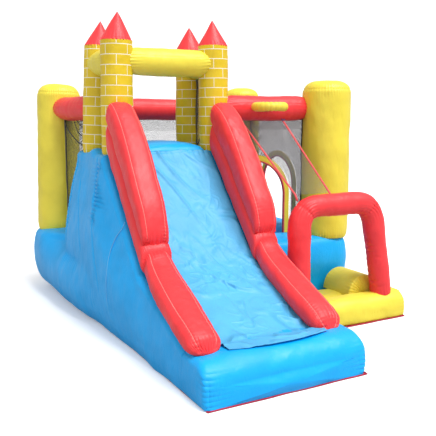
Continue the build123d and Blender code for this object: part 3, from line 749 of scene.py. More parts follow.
def side_seams(rings, seams, seed):
    """Seams down the left side, from (y, z) at the foot to (y, z) at the head, with furrows."""
    y, z = rings[..., 1], rings[..., 2]
    on_left = ease((-rings[..., 0] - 0.42) / 0.1)
    shape = np.zeros(rings.shape[:2])
    for number, ((foot_y, foot_z), (head_y, head_z), depth, furrows) in enumerate(seams):
        away = y - foot_y - (head_y - foot_y) * (z - foot_z) / (head_z - foot_z)
        line = ease((z - foot_z) / 0.12) * ease((head_z - z) / 0.04) * on_left
        window = ease((z - furrows[0]) / 0.08) * ease((furrows[1] - z) / 0.08) * on_left
        shape += window * gathers(rings, z, away + 0.02, 0.032, depth, 0.060, seed + 7 * number)
        shape += line * groove(away, 0.006, 0.014)
    return shape


LEFT_SEAMS = [((PLATFORM_REAR - 0.03, 0.50), (PLATFORM_REAR - 0.03, 1.33), 0.010, (0.55, 1.30)),
              ((0.120, 0.50), (0.40, 1.15), 0.014, (1.02, 1.14)),
              ((-0.27, 0.30), (0.03, 1.34), 0.030, (0.80, 1.31))]


def foot_crease(rings, seed):
    """Puckers where the foot tube meets the side above it."""
    y, z = rings[..., 1], rings[..., 2]
    window = ease((y - 0.02) / 0.3) * ease((-rings[..., 0] - 0.42) / 0.1)
    return window * gathers(rings, y, z - 0.475, 0.034, 0.007, 0.045, seed)


platform_rings = block_rings(spaced(PLATFORM_FRONT, PLATFORM_REAR, 120), 0.012)
platform_rings = push(platform_rings, side_seams(platform_rings, LEFT_SEAMS, 61)
                      + foot_crease(platform_rings, 63))
tucked = np.exp(-((platform_rings[..., 1] - 0.235) / 0.075) ** 2)
tucked *= ease((platform_rings[..., 2] - 1.27) / 0.06) * ease((-platform_rings[..., 0] - 0.43) / 0.08)
platform_rings[..., 2] += 0.034 * tucked
platform_rings = uneven(platform_rings, 0.003, 61)
chamber("platform_block", platform_rings, blue)

slide_rings = block_rings(np.linspace(LANDING_REAR, PLATFORM_FRONT, 190), 0.0)
slide_rings = uneven(push(slide_rings, side_seams(slide_rings, LEFT_SEAMS[2:], 75)), 0.003, 61)
chamber("slide_body", slide_rings, blue)

rounding = SLIDE_FRONT + FRONT_ROUNDING * (1 - np.cos(np.linspace(0.02, pi / 2, 44)))
straight = np.linspace(SLIDE_FRONT + FRONT_ROUNDING, LANDING_REAR, 40)[1:]
landing_rings = block_rings(np.concatenate([rounding, straight]), 0.012, edge=0.05)
face = landing_rings[0]
face_middle = face.mean(0)
bulged = [face_middle + (face - face_middle) * s - np.array([0, 0.026 * (1 - s ** 2) ** 2, 0])
          for s in (0.15, 0.45, 0.7, 0.85, 0.94, 0.98)]
landing_rings = np.concatenate([np.array(bulged), landing_rings])
corner_away = np.hypot(landing_rings[..., 1] - SLIDE_FRONT, (SIDE - np.abs(landing_rings[..., 0])))
shape = gathers(landing_rings, landing_rings[..., 2], corner_away, 0.030, 0.006, 0.045, 66)
shape += groove(corner_away, 0.006, 0.010)
edge_away = np.hypot(landing_rings[..., 1] - LANDING_REAR, landing_rings[..., 2] - LANDING_TOP)
shape += gathers(landing_rings, landing_rings[..., 0], edge_away, 0.035, 0.006, 0.06, 67)
landing_rings = uneven(push(landing_rings, shape), 0.003, 61)
chamber("landing_bolster", landing_rings, blue)


def on_left_side(points):
    """3-D points on the left side from (y, z) points, a hair proud of the fabric."""
    y, z = points[:, 0], points[:, 1]
    return np.stack([-left_side(y, z) - 0.0015, y, z], 1)


# A pale blue welt down the left side's crease: its paler blue is a painted highlight along the crease.
side_crease_painted_highlight = curve_through([(-0.570, 0.905), (-0.474, 0.799), (-0.439, 0.729), (-0.418, 0.634),
                           (-0.410, 0.528), (-0.403, 0.391), (-0.395, 0.249), (-0.395, 0.15)], 90)
piping("side_crease_painted_highlight", on_left_side(side_crease_painted_highlight), 0.0028, painted_highlight_blue)


def cushion_rings(low, high, rounding, end_rounding, crown, arch):
    """A filled box lying along X, with round top edges and soft ends.

    Its top swells by crown across it and by arch along it.
    """
    half, tall = (high.y - low.y) / 2, high.z - low.z
    cut = rounding / 0.6
    foot_cut = 0.02
    outline = rounded([(-half, foot_cut), (-half, tall - cut), (-half + cut, tall),
                       (0, tall + crown), (half - cut, tall), (half, tall - cut),
                       (half, foot_cut), (half - foot_cut, 0), (0, 0), (-half + foot_cut, 0)], 5)
    outline = resample(outline, 150, closed=True)
    middle_y = (low.y + high.y) / 2

    def ring(x, inset, share):
        rise = tall + arch * (1 - (2 * (x - low.x) / (high.x - low.x) - 1) ** 2)
        middle_z = (rise - inset) / 2
        y = outline[:, 0] * (half - inset) / half * share
        z = middle_z + (outline[:, 1] * (rise - inset) / tall - middle_z) * share
        return np.stack([np.full(len(y), x), middle_y + y, low.z + z], 1)

    bulge, end_inset = 0.35 * end_rounding, 0.7 * end_rounding
    shares = (0.1, 0.4, 0.65, 0.82, 0.93)
    rings = [ring(low.x - bulge * (1 - share ** 2), end_inset, share) for share in shares]
    for x in spaced(low.x, high.x, 70):
        near = np.clip(end_rounding - min(x - low.x, high.x - x), 0, end_rounding)
        rings.append(ring(x, 0.7 * (end_rounding - sqrt(end_rounding ** 2 - near ** 2)), 1.0))
    rings += [ring(high.x + bulge * (1 - share ** 2), end_inset, share) for share in shares[::-1]]
    return np.array(rings)


def cushion(node, rounding, end_rounding, material, seed, depth=0.004, crown=0.012, arch=0.0):
    low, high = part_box(node)
    rings = cushion_rings(low, high, rounding, end_rounding, crown, arch)
    step = np.linalg.norm(np.diff(np.concatenate([rings, rings[:, :1]], 1), axis=1), axis=2)
    around = np.cumsum(step, axis=1) - step
    away = np.minimum(rings[..., 0] - low.x, high.x - rings[..., 0])
    shape = gathers(rings, around, np.maximum(away, 0), 0.030, depth, 0.05, seed)
    shape += groove(away, 0.5 * depth, 0.008)
    return chamber(node, uneven(push(rings, shape), 0.003, seed), material)


cushion("platform_pad", 0.028, 0.05, blue, 68, depth=0.005, arch=0.024)
cushion("entry_bolster", 0.036, 0.022, yellow, 71, crown=0.006)
cushion("entry_floor", 0.04, 0.04, yellow, 72)


def round_ends(places, first, last, reach):
    """Shares of a tube's full radius: 1, but rounding off within reach of either end."""
    near = np.clip(1 - np.minimum(places - first, last - places) / reach, 0, 1)
    return np.maximum(np.sqrt(1 - near ** 2), 0.05)


def side_bolster():
    """A round log cut flat underneath, gathered and rounded at its ends."""
    low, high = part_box("side_bolster")
    centre_x, radius = (low.x + high.x) / 2, (high.x - low.x) / 2
    centre_z = high.z - radius
    turn = np.linspace(0, 2 * pi, 170, endpoint=False)
    front = low.y - 0.033
    places = spaced(front, high.y, 110)
    shares = round_ends(places, front, high.y, 0.03)
    rings = np.zeros((len(places), len(turn), 3))
    rings[..., 0] = centre_x + radius * shares[:, None] * np.sin(turn)
    rings[..., 1] = places[:, None]
    rings[..., 2] = centre_z + radius * shares[:, None] * np.cos(turn)
    rings[..., 2] = np.maximum(rings[..., 2], low.z - 0.002 * shares[:, None])
    away = np.clip(np.minimum(rings[..., 1] - front, high.y - rings[..., 1]), 0, None)
    around = around_of(rings, radius)
    shape = gathers(rings, around, away, whole_pitch(2 * pi * radius, 0.028), 0.006, 0.05, 73)
    shape *= ease((rings[..., 2] - low.z) / 0.03)
    chamber("side_bolster", push(rings, shape), yellow)


side_bolster()


def bounce_floor():
    """Two cells of sewn channels that children jump on."""
    low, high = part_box("bounce_floor")
    cells = {"bounce_floor": (SIDE + 0.004, high.x, low.y, high.y),
             "bounce_floor_rear": (low.x, SIDE - 0.004, PLATFORM_REAR + 0.004, high.y)}
    channel = 0.165
    for name, (x0, x1, y0, y1) in cells.items():
        columns = np.linspace(x0, x1, 150)
        count = max(2, round((x1 - x0) / channel))
        valleys = np.abs(np.sin(pi * count * (columns - x0) / (x1 - x0))) ** 0.55
        top = high.z - 0.045 * (1 - valleys)
        outline_x = np.concatenate([columns, columns[::-1]])
        outline_z = np.concatenate([top, np.full(len(top), 0.004)])
        places = spaced(y0, y1, 90)
        rings = np.zeros((len(places), len(outline_x), 3))
        rings[..., 0], rings[..., 1], rings[..., 2] = outline_x, places[:, None], outline_z
        upper = rings[..., 2] > 0.1
        valley = np.concatenate([1 - valleys, 0 * valleys])[None]
        shape = gathers(rings, rings[..., 1], 0.06 * (1 - valley), 0.034, 0.004, 0.03, 75) * upper
        chamber(name, push(rings, shape), blue, "bounce_floor")


bounce_floor()


def climbing_wall():
    """The sloping wall inside, up to the platform, with four padded rungs."""
    low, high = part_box("climbing_wall")
    head_y = low.y + 0.06
    foot_z = low.z
    outline = rounded([(low.y, foot_z), (low.y, high.z), (head_y, high.z + 0.01),
                       (0.5 * (head_y + high.y) + 0.03, 0.5 * (high.z + foot_z) + 0.03),
                       (high.y, foot_z + 0.03), (high.y - 0.02, foot_z)], 4)
    outline = resample(outline, 150, closed=True)
    places = spaced(low.x, high.x, 90)
    rings = np.zeros((len(places), len(outline), 3))
    centre = outline.mean(0)
    for row, x in enumerate(places):
        near = max(0.0, 0.04 - min(x - low.x, high.x - x))
        inset = 0.04 - sqrt(0.04 ** 2 - near ** 2)
        shrunk = centre + (outline - centre) * (1 - 1.4 * inset)
        rings[row] = np.column_stack([np.full(len(outline), x), shrunk])
    away = np.minimum(rings[..., 0] - low.x, high.x - rings[..., 0])
    shape = gathers(rings, rings[..., 2], away, 0.034, 0.006, 0.05, 77)
    for seam in (0.25, 0.5, 0.75):
        shape += groove(rings[..., 0] - (low.x + seam * (high.x - low.x)), 0.012, 0.02)
    chamber("climbing_wall", uneven(push(rings, shape), 0.003, 77), blue)

    low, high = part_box("climbing_rungs")
    count, radius = 4, 0.032
    for number in range(count):
        share = number / (count - 1)
        z = low.z + radius + share * (high.z - low.z - 2 * radius)
        y = high.y - radius - share * (high.y - low.y - 2 * radius)
        reach = spaced(low.x, high.x, 60)
        radii = radius * round_ends(reach, low.x, high.x, 0.03)
        centres = np.stack([reach, np.full(60, y), np.full(60, z)], 1)
        rings = tube_rings(centres, radii, 72, first_side=(0, 0, 1))
        around = around_of(rings, radius)
        away = np.minimum(reach - low.x, high.x - reach)[:, None]
        rings = push(rings, gathers(rings, around, away, whole_pitch(2 * pi * radius, 0.016),
                                    0.003, 0.03, 80 + number))
        chamber(f"climbing_rung_{number + 1}", rings, yellow, "climbing_rungs")


climbing_wall()


# ---------------------------------------------------------------- rails

RAIL_TOP_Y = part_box("right_rail_upper_tube")[1].y
CREASE = (-0.802, 0.760)
TUBES_MEET_Z = 1.590          # at the top end
RAIL_TURNS = 160
WELT_TURNS = (0.30 * pi, 0.70 * pi)     # where the welts run round a rail's section


class Rail:
    """One side's rail: its name, its middle and half width, and how far its foot splays out."""

    def __init__(self, name, outwards, splay, lean):
        low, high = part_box(name + "_upper_tube")
        self.name, self.outwards, self.splay, self.lean = name, outwards, splay, lean
        self.middle, self.half = (low.x + high.x) / 2, (high.x - low.x) / 2

    def middle_at(self, y):
        leaning = self.lean * ease((RAIL_TOP_Y - y) / 0.6)
        return self.middle + self.outwards * (self.splay * ease((KNEE_Y - y) / 0.7) + leaning)

    def lobe(self, base_line, crown_line, crown_round, base_round, tip, tail, share=1.0, waist=0.13,
             belly=0.0):
        """A tube between a base and a crown line, both (y, z); tip and tail round its ends.

        The rounds say how square the section is on each side: 2 is round, and more is squarer.
        It is narrower by its waist where it starts, at the crease, and wider by its belly halfway.
        """
        turn = np.linspace(0, 2 * pi, RAIL_TURNS, endpoint=False)
        power = 2 / np.where(np.sin(turn) > 0, crown_round, base_round)
        out = np.sign(np.cos(turn)) * np.abs(np.cos(turn)) ** power
        up = np.sign(np.sin(turn)) * np.abs(np.sin(turn)) ** power
        centre = (base_line + crown_line) / 2
        travel = travelled(centre)
        rings = []
        for row, (base, crown) in enumerate(zip(base_line, crown_line)):
            from_tip = np.clip(1 - travel[row] / tip, 0, 1)
            from_tail = np.clip(1 - (travel[-1] - travel[row]) / tail, 0, 1)
            full = max(0.06, sqrt(1 - max(from_tip, from_tail) ** 2))
            yz = (base + crown) / 2 + (crown - base) / 2 * up[:, None] * (0.25 + 0.75 * full)
            swell = belly * sin(pi * travel[row] / travel[-1])
            width = self.half * share * full * (1 + swell - waist * np.exp(-(travel[row] / 0.17) ** 2))
            x = self.middle_at(yz[:, 0]) - swell * self.half + width * out
            rings.append(np.stack([x, yz[:, 0], yz[:, 1]], 1))
        return np.array(rings), travel

    def finish(self, part, rings, travel, seed, node, depth, welted):
        """Puckers at the ends and along the welts, then the piece itself and its piping, pale red as a
        painted highlight.
        """
        around = around_of(rings, self.half)
        pitch = whole_pitch(2 * pi * self.half, 0.022)
        from_ends = np.minimum(travel, travel[-1] - travel)[:, None]
        shape = gathers(rings, around, from_ends, pitch, depth, 0.050, seed)
        along = np.broadcast_to(travel[:, None], rings.shape[:2])
        near_end = np.exp(-np.minimum(along, travel[-1] - along) / 0.12)
        for angle in WELT_TURNS if welted else ():
            away = around - angle * self.half
            shape += gathers(rings, along, away, 0.021, 0.0028, 0.024, seed + 3) * (1 + 2.6 * near_end)
            shape += groove(away, 0.002, 0.005)
        rings = uneven(push(rings, shape), 0.0032, seed)
        chamber(f"{self.name}_{part}", rings, red, f"{self.name}_{node}")
        # Each welt gets pale red piping, a painted highlight along the seam.
        for number, angle in enumerate(WELT_TURNS if welted else ()):
            column_at = round(angle / (2 * pi) * RAIL_TURNS)
            line = rings[2:-2, column_at] + 0.0004 * outward(rings)[2:-2, column_at]
            piping(f"{self.name}_{part}_welt_{number + 1}", line, 0.0026, painted_highlight_red)

    def build(self, seed):
        rows = 170
        top_base = np.array([RAIL_TOP_Y + 0.02, TUBES_MEET_Z + 0.02])
        seam = np.linspace(CREASE, top_base, rows)
        crown = curve_through([(CREASE[0] - 0.002, CREASE[1] + 0.004), (-0.828, 0.86), (-0.790, 1.010),
                               (-0.702, 1.147), (-0.590, 1.312), (-0.460, 1.493), (-0.327, 1.637),
                               (-0.200, 1.728), (RAIL_TOP_Y + 0.02, 1.758)], rows)
        rings, travel = self.lobe(seam - (0.0, 0.012), crown, 2.8, 3.6, 0.030, 0.05)
        self.finish("upper_tube", rings, travel, seed, "upper_tube", 0.012, True)
        ramp_y = np.linspace(KNEE_Y - 0.04, RAIL_TOP_Y + 0.02, rows)
        ramp_line = np.stack([ramp_y, ramp(ramp_y)], 1)
        seam_low = np.linspace((CREASE[0] - 0.030, CREASE[1] - 0.045), top_base, rows)
        rings, travel = self.lobe(ramp_line, seam_low + (-0.012, 0.020), 3.6, 2.6, 0.03, 0.05, 1.02,
                                 waist=0.0)
        self.finish("lower_tube", rings, travel, seed + 1, "lower_tube", 0.003, False)
        foot_crown = curve_through([(CREASE[0] + 0.004, CREASE[1] - 0.006), (CREASE[0] - 0.06, 0.728),
                                    (-0.95, 0.668), (-1.15, 0.582), (-1.35, 0.495), (-1.490, 0.433),
                                    (-1.590, 0.366), (-1.628, 0.280)], rows)
        foot_y = np.linspace(KNEE_Y + 0.01, -1.614, rows)
        foot_base = np.stack([foot_y, ramp(foot_y) - 0.014], 1)
        rings, travel = self.lobe(foot_base, foot_crown, 2.4, 2.4, 0.015, 0.085, belly=0.10)
        self.finish("foot", rings, travel, seed + 2, "lower_tube", 0.012, True)


Rail("left_rail", -1, 0.024, 0.008).build(91)
Rail("right_rail", 1, -0.012, 0.004).build(95)


# ---------------------------------------------------------------- loose cover on the slide

def ridges(points, size, seed):
    """Creases of loose cloth: sharp crests along winding lines, missing here and there."""
    bent = points + 0.35 * size * np.stack([field(points, 2 * size, seed + 1),
                                            field(points, 2 * size, seed + 2), 0 * points[..., 0]], -1)
    crest = np.clip(1 - 2.2 * np.abs(field(bent, size, seed)), 0, 1) ** 1.6
    return crest * np.clip(0.35 + field(points, 3 * size, seed + 3), 0, 1)


def slide_cover():
    """The loose cloth down the slide and over its landing, creased along its fall."""
    low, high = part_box("slide_cover")
    rows, columns = 320, 150
    lift = 0.010
    line = curve_through([
        (PLATFORM_FRONT + 0.004, PLATFORM_TOP + 0.018),
        (PLATFORM_FRONT - 0.06, float(ramp(PLATFORM_FRONT - 0.06)) + 0.016),
        (PLATFORM_FRONT - 0.35, float(ramp(PLATFORM_FRONT - 0.35)) + 1.4 * lift),
        (KNEE_Y + 0.10, float(ramp(KNEE_Y + 0.10)) + 1.8 * lift),
        (KNEE_Y - 0.04, float(ramp(KNEE_Y - 0.04)) + 2.0 * lift),
        (KNEE_Y - 0.30, float(ramp(KNEE_Y - 0.30)) + 1.4 * lift),
        (LANDING_REAR + 0.02, LANDING_TOP + 2 * lift), (LANDING_REAR - 0.08, LANDING_TOP + 1.6 * lift),
        (low.y - 0.01, LANDING_TOP + 1.2 * lift)], rows)
    length = float(travelled(line)[-1])
    share = np.linspace(0, 1, rows)
    wider = ease((share - 0.70) / 0.28)
    left, right = low.x - 0.012 - 0.026 * wider, high.x + 0.030 + 0.030 * wider
    across = np.linspace(0, 1, columns)
    sheet = np.zeros((rows, columns, 3))
    sheet[..., 0] = left[:, None] + (right - left)[:, None] * across
    sheet[..., 1], sheet[..., 2] = line[:, :1], line[:, 1:]
    tangent = unit(np.gradient(line, axis=0))
    normal = np.stack([0 * share, -tangent[:, 1], tangent[:, 0]], 1)
    normal *= np.sign(normal[:, 2:3])
    flat = np.stack([sheet[..., 0], np.broadcast_to((share * length)[:, None], (rows, columns)),
                     np.zeros((rows, columns))], -1)
    loose = (0.45 + 0.55 * ease((share - 0.35) / 0.4))[:, None]
    fall = np.stack([flat[..., 0] - 0.42 * flat[..., 1], 0.42 * flat[..., 1], flat[..., 2]], -1)
    hem = ease((share - 0.93) / 0.07)[:, None]
    loose *= 1 - 0.7 * hem
    height = loose * (0.030 * ridges(fall, 0.19, 101) + 0.020 * ridges(fall, 0.095, 105)
                      + 0.009 * ridges(flat, 0.048, 109))
    height += loose * 0.005 * field(flat, 0.20, 113)
    height += gathers(flat, flat[..., 0], flat[..., 1], 0.045, 0.005, 0.06, 104)
    height += hem * (0.006 + 0.006 * field(flat, 0.14, 105))
    sheet += normal[:, None] * np.clip(height, -0.006, 0.045)[..., None]
    sheet[..., 1] -= hem * (0.050 * (1 - (2 * across - 1) ** 2) + 0.004 * field(flat, 0.2, 106))
    cover = grid_object("slide_cover", sheet, sky, closed=False)
    thick = cover.modifiers.new("cloth", "SOLIDIFY")
    thick.thickness = 0.0012
    place(cover, "slide_cover")
    piping("slide_cover_hem", sheet[-3, 2:-2] + (0, 0, 0.0012), 0.0018, sky)
    piping("slide_cover_seam", sheet[4, 2:-2] + (0, 0, 0.0010), 0.0016, blue)


slide_cover()


# ---------------------------------------------------------------- nets, their bindings and doors

def joined(name, parts):
    """One object from several, which are removed."""
    collected = bmesh.new()
    materials = parts[0].data.materials[:]
    for part in parts:
        collected.from_mesh(part.data)
        bpy.data.objects.remove(part)
    name = free_name(name)
    mesh = bpy.data.meshes.new(name)
    collected.to_mesh(mesh)
    collected.free()
    for material in materials:
        mesh.materials.append(material)
    mesh.shade_smooth()
    return link(bpy.data.objects.new(name, mesh))


NET_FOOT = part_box("net_rear")[0].z
NET_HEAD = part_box("net_rear")[1].z
SPANS = {
    "net_left": ("column_left_rear", "tower_rear_left"),
    "net_rear": ("column_left_rear", "column_right_rear"),
    "net_right": ("column_right_front", "column_right_rear"),
    "net_front": ("tower_front_right", "column_right_front"),
}
DOORS = {"net_right": (0.764, 0.262), "net_front": (0.367, 0.298)}   # centre and half width
TRIM_WIDTH = 0.060


def facing_of(direction):
    """The level direction that a net faces, from the one it runs in."""
    return np.array((direction.y, -direction.x, 0.0))


def net_point(plane, u, z, push_out):
    """Points at (along, height) in a net's plane, given by its start and direction."""
    start, direction = plane
    points = np.array(start) + u[..., None] * np.array(direction)
    points += push_out[..., None] * facing_of(direction)
    points[..., 2] = z
    return points


def netted_wall(node, material, seed):
    """A net from post to post, bellying out a little and parted round its doorway."""
    start_post, end_post = SPANS[node]
    start, end = span(start_post, end_post)
    direction = (end - start).normalized()
    run = 0 if abs(direction.x) > abs(direction.y) else 1
    first, last = sorted((corner[run] - start[run]) / direction[run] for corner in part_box(node))
    first, last = first - 0.01, last + (0.035 if node == "net_left" else 0.01)
    door = DOORS.get(node)
    spans = [(first, last, None)]
    if door:
        centre, half = door[0], door[1] + TRIM_WIDTH
        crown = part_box(node.replace("net", "door_trim"))[1].z
        spans = [(first, centre - half, None), (max(first, centre - half), centre + half, half),
                 (centre + half, last, None)]
    parts = []
    for u0, u1, arch in spans:
        if u1 - u0 < 0.01:
            continue
        u = np.linspace(u0, u1, max(6, ceil((u1 - u0) / 0.012)))
        low_z = np.full(len(u), NET_FOOT)
        if arch:
            low_z = crown - arch + np.sqrt(np.clip(arch ** 2 - (u - centre) ** 2, 0, None)) - 0.004
        z = low_z[None] + (NET_HEAD + 0.015 - low_z[None]) * np.linspace(0, 1, 90)[:, None]
        uu = np.broadcast_to(u[None], z.shape)
        flat = np.stack([uu, z, 0 * z], -1)
        belly = np.sin(pi * (uu - first) / (last - first)) * np.sin(
            pi * np.clip((z - NET_FOOT) / (NET_HEAD - NET_FOOT), 0, 1))
        sag = 0.014 * belly + 0.006 * field(flat * (1.6, 0.8, 1), 0.12, seed) * np.sqrt(np.abs(belly))
        cloth = net_point((start, direction), uu, z, sag)
        parts.append(grid_object("part", cloth, material, closed=False))
    wall = joined(node, parts)
    place(wall, node)
    return (start, direction), first, last, door


def net_strip(name, plane, points, width, material, thickness=0.003, shift=0.0):
    """Tape along a path of (along, height) points in a net's plane."""
    p = np.array(points, float)
    line = net_point(plane, p[:, 0], p[:, 1], np.full(len(p), shift))
    tangent = unit(np.gradient(line, axis=0))
    across = np.cross(tangent, facing_of(plane[1]))
    return ribbon(name, line, across, width, thickness, material)


def wavy(points, count, amount, seed):
    """A line of tape that isn't pulled quite straight."""
    line = curve_through(points, count)
    line[:, 0] += amount * field(np.stack([line[:, 1], line[:, 0], 0 * line[:, 0]], 1), 0.12, seed)
    return line


def door_edge(node, plane, first, door, seed):
    """A padded trim round the arched doorway, with a red binding inside it."""
    trim_node = node.replace("net", "door_trim")
    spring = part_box(trim_node)[1].z - door[1] - TRIM_WIDTH
    turn = np.linspace(0, pi, 90)

    def doorway(half):
        arc = np.stack([door[0] - half * np.cos(turn), spring + half * np.sin(turn)], 1)
        left = [(door[0] - half, z) for z in np.linspace(NET_FOOT, spring, 30)[:-1]]
        right = [(door[0] + half, z) for z in np.linspace(spring, NET_FOOT, 30)[1:]]
        line = np.vstack([left, arc, right])
        return line[line[:, 0] > first]

    path = doorway(door[1] + TRIM_WIDTH / 2)
    line = net_point(plane, path[:, 0], path[:, 1], np.zeros(len(path)))
    normal = facing_of(plane[1])
    widths = unit(np.cross(unit(np.gradient(line, axis=0)), normal))
    small = np.linspace(0, 2 * pi, 28, endpoint=False)
    rings = line[:, None] + (TRIM_WIDTH / 2 * np.cos(small))[None, :, None] * widths[:, None] \
        + (0.011 * np.sin(small))[None, :, None] * normal
    travel = np.broadcast_to(0.012 * np.arange(len(line))[:, None], rings.shape[:2])
    shape = gathers(rings, travel, 0.02 * np.abs(np.sin(small))[None] + 0 * travel, 0.028, 0.004,
                    0.02, seed)
    chamber(trim_node, push(rings, shape), yellow, fill=0.5)
    net_strip(node.replace("net", "door_binding"), plane, doorway(door[1] + 0.004), 0.012, red_tape,
              thickness=0.024)


for number, node in enumerate(SPANS):
    # The left net is the darker one: its near-black threads paint the shade behind it.
    cloth = shade_dark_net if node == "net_left" else net
    plane, first, last, door = netted_wall(node, cloth, 110 + number)
    insets, tape = ((0.034, 0.030), 0.030) if node == "net_left" else ((0.012, 0.012), 0.020)
    for end_name, u in (("start", first + insets[0]), ("end", last - insets[1])):
        foot = NET_FOOT if not (door and u < door[0]) or node == "net_right" else 1.15
        line = wavy([(u, foot), (u, 0.5 * (foot + NET_HEAD)), (u, NET_HEAD + 0.005)], 60, 0.004,
                    120 + number)
        net_strip(f"{node}_binding_{end_name}", plane, line, tape, black_tape, shift=0.008)
    pieces_of_hem = [(first, last)]
    if door:
        outer = door[1] + TRIM_WIDTH
        pieces_of_hem = [(first, door[0] - outer), (door[0] + outer, last)]
    for part, (u0, u1) in enumerate(p for p in pieces_of_hem if p[1] - p[0] > 0.03):
        line = np.stack([np.linspace(u0, u1, 40), np.full(40, NET_FOOT + 0.012)], 1)
        net_strip(f"{node}_hem_{part + 1}", plane, line, 0.030, yellow, shift=0.004)
        line[:, 1] += 0.020
        net_strip(f"{node}_hem_binding_{part + 1}", plane, line, 0.010, black_tape, shift=0.006)
    if door:
        door_edge(node, plane, first, door, 130 + number)
    if node == "net_left":
        tails = ([(0.24, 1.59), (0.33, 1.50), (0.52, 1.41), (0.73, 1.37)],
                 [(0.50, 1.60), (0.60, 1.55), (0.73, 1.53)],
                 [(0.45, 1.59), (0.52, 1.50), (0.62, 1.46), (0.73, 1.40)])
        for part, points in enumerate(tails):
            line = wavy(points, 50, 0.006, 135 + part)
            net_strip(f"net_left_tie_{part + 1}", plane, line, 0.011, black_tape, shift=0.020)


def tower_nets():
    """A small net between the towers on each side of the platform, with wavy black bindings."""
    low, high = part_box("tower_nets")
    foot, head = low.z, high.z
    for side, x in (("left", low.x + 0.001), ("right", high.x - 0.001)):
        y = np.linspace(low.y - 0.008, high.y + 0.008, 26)
        z = np.linspace(foot, head + 0.02, 60)
        yy, zz = np.meshgrid(y, z)
        flat = np.stack([yy, zz, 0 * yy], -1)
        bow = 0.012 * np.sin(pi * (yy - low.y) / (high.y - low.y)) + 0.004 * field(flat, 0.09, 141)
        panel = grid_object(f"tower_net_{side}", np.stack([x + bow, yy, zz], -1), net, closed=False)
        place(panel, "tower_nets")
        sway = 0.006 * field(np.stack([z, 0 * z, 0 * z], 1), 0.10, 143)
        for name, at in (("front", low.y), ("rear", high.y)):
            line = np.stack([np.full(60, x) + 0.008, at + sway, z], 1)
            ribbon(f"tower_net_{side}_binding_{name}", line, (0, 1, 0), 0.034, 0.003, black_tape)
    tail = curve_through([(high.x + 0.004, high.y - 0.004, foot + 0.02),
                          (high.x + 0.02, high.y - 0.05, 1.46),
                          (high.x + 0.012, high.y - 0.09, 1.53)], 24)
    ribbon("tower_net_tie", tail, (0, 1, 0), 0.022, 0.002, black_tape)


tower_nets()


# ---------------------------------------------------------------- entry arch, canopy and hoop

def bent_line(corners, radius):
    """Straight runs with round corners, as closely spaced points."""
    step = 0.006
    corners = [np.array(c, float) for c in corners]
    line = [corners[0]]
    for before, corner, after in zip(corners, corners[1:], corners[2:]):
        come, go = unit(before - corner), unit(after - corner)
        share = np.linspace(0, 1, 24)[:, None]
        a, b = corner + come * radius, corner + go * radius
        line.extend((1 - share) ** 2 * a + 2 * share * (1 - share) * corner + share ** 2 * b)
    line.append(corners[-1])
    line = np.array(line)
    return resample(line, int(travelled(line)[-1] / step))


arch_low, arch_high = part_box("entry_arch")
ARCH_RADIUS = (arch_high.y - arch_low.y) / 2
ARCH_Y = (arch_low.y + arch_high.y) / 2
ARCH_LEAN = 0.138             # how much further out the right leg's foot is
arch_left, arch_right = arch_low.x + ARCH_RADIUS, arch_high.x - ARCH_RADIUS
arch_corners = [(arch_left, ARCH_Y, arch_low.z - 0.02), (arch_left, ARCH_Y, arch_high.z - ARCH_RADIUS),
                (arch_right - ARCH_LEAN, ARCH_Y, arch_high.z - ARCH_RADIUS),
                (arch_right, ARCH_Y, arch_low.z - 0.02)]


def entry_arch():
    line = bent_line(arch_corners, 0.17)
    travel = np.linspace(0, travelled(line)[-1], len(line))
    from_foot = np.minimum(travel, travel[-1] - travel)
    radii = ARCH_RADIUS * (1 - 0.10 * np.exp(-from_foot / 0.03))
    rings = tube_rings(line, radii, 176, first_side=(0, 1, 0))
    around = around_of(rings, ARCH_RADIUS)
    pitch = whole_pitch(2 * pi * ARCH_RADIUS, 0.026)
    shape = gathers(rings, around, from_foot[:, None], pitch, 0.006, 0.06, 151)
    centre_x = (arch_corners[1][0] + arch_corners[2][0]) / 2
    centre_z = arch_corners[1][2]
    for number, corner in enumerate(arch_corners[1:3]):
        inwards = unit(np.array((centre_x - corner[0], 0.0, -abs(centre_x - corner[0]))))
        across_mitre = np.array((inwards[2], 0.0, -inwards[0]))
        away = (rings - np.array(corner)) @ across_mitre
        near = np.exp(-(np.linalg.norm(rings - np.array(corner), axis=-1) / 0.26) ** 4)
        shape += near * gathers(rings, around, away, pitch, 0.0085, 0.055, 152 + number)
        shape += near * groove(away, 0.006, 0.008)
    middle_of_way = np.array((centre_x, ARCH_Y, 0.6 * centre_z))
    reach = np.linalg.norm(line - middle_of_way, axis=1)[:, None]
    from_inside = ARCH_RADIUS + np.linalg.norm(rings - middle_of_way, axis=-1) - reach
    along = np.broadcast_to(travel[:, None], rings.shape[:2])
    patches = np.clip(0.25 + field(rings, 0.10, 159), 0, 1)
    shape += patches * gathers(rings, along, from_inside, 0.050, 0.0065, 0.075, 158)
    shape += groove(around - 0.9 * ARCH_RADIUS, 0.0012, 0.004)
    rings = uneven(push(rings, shape), 0.003, 155)
    chamber("entry_arch", rings, red)


entry_arch()


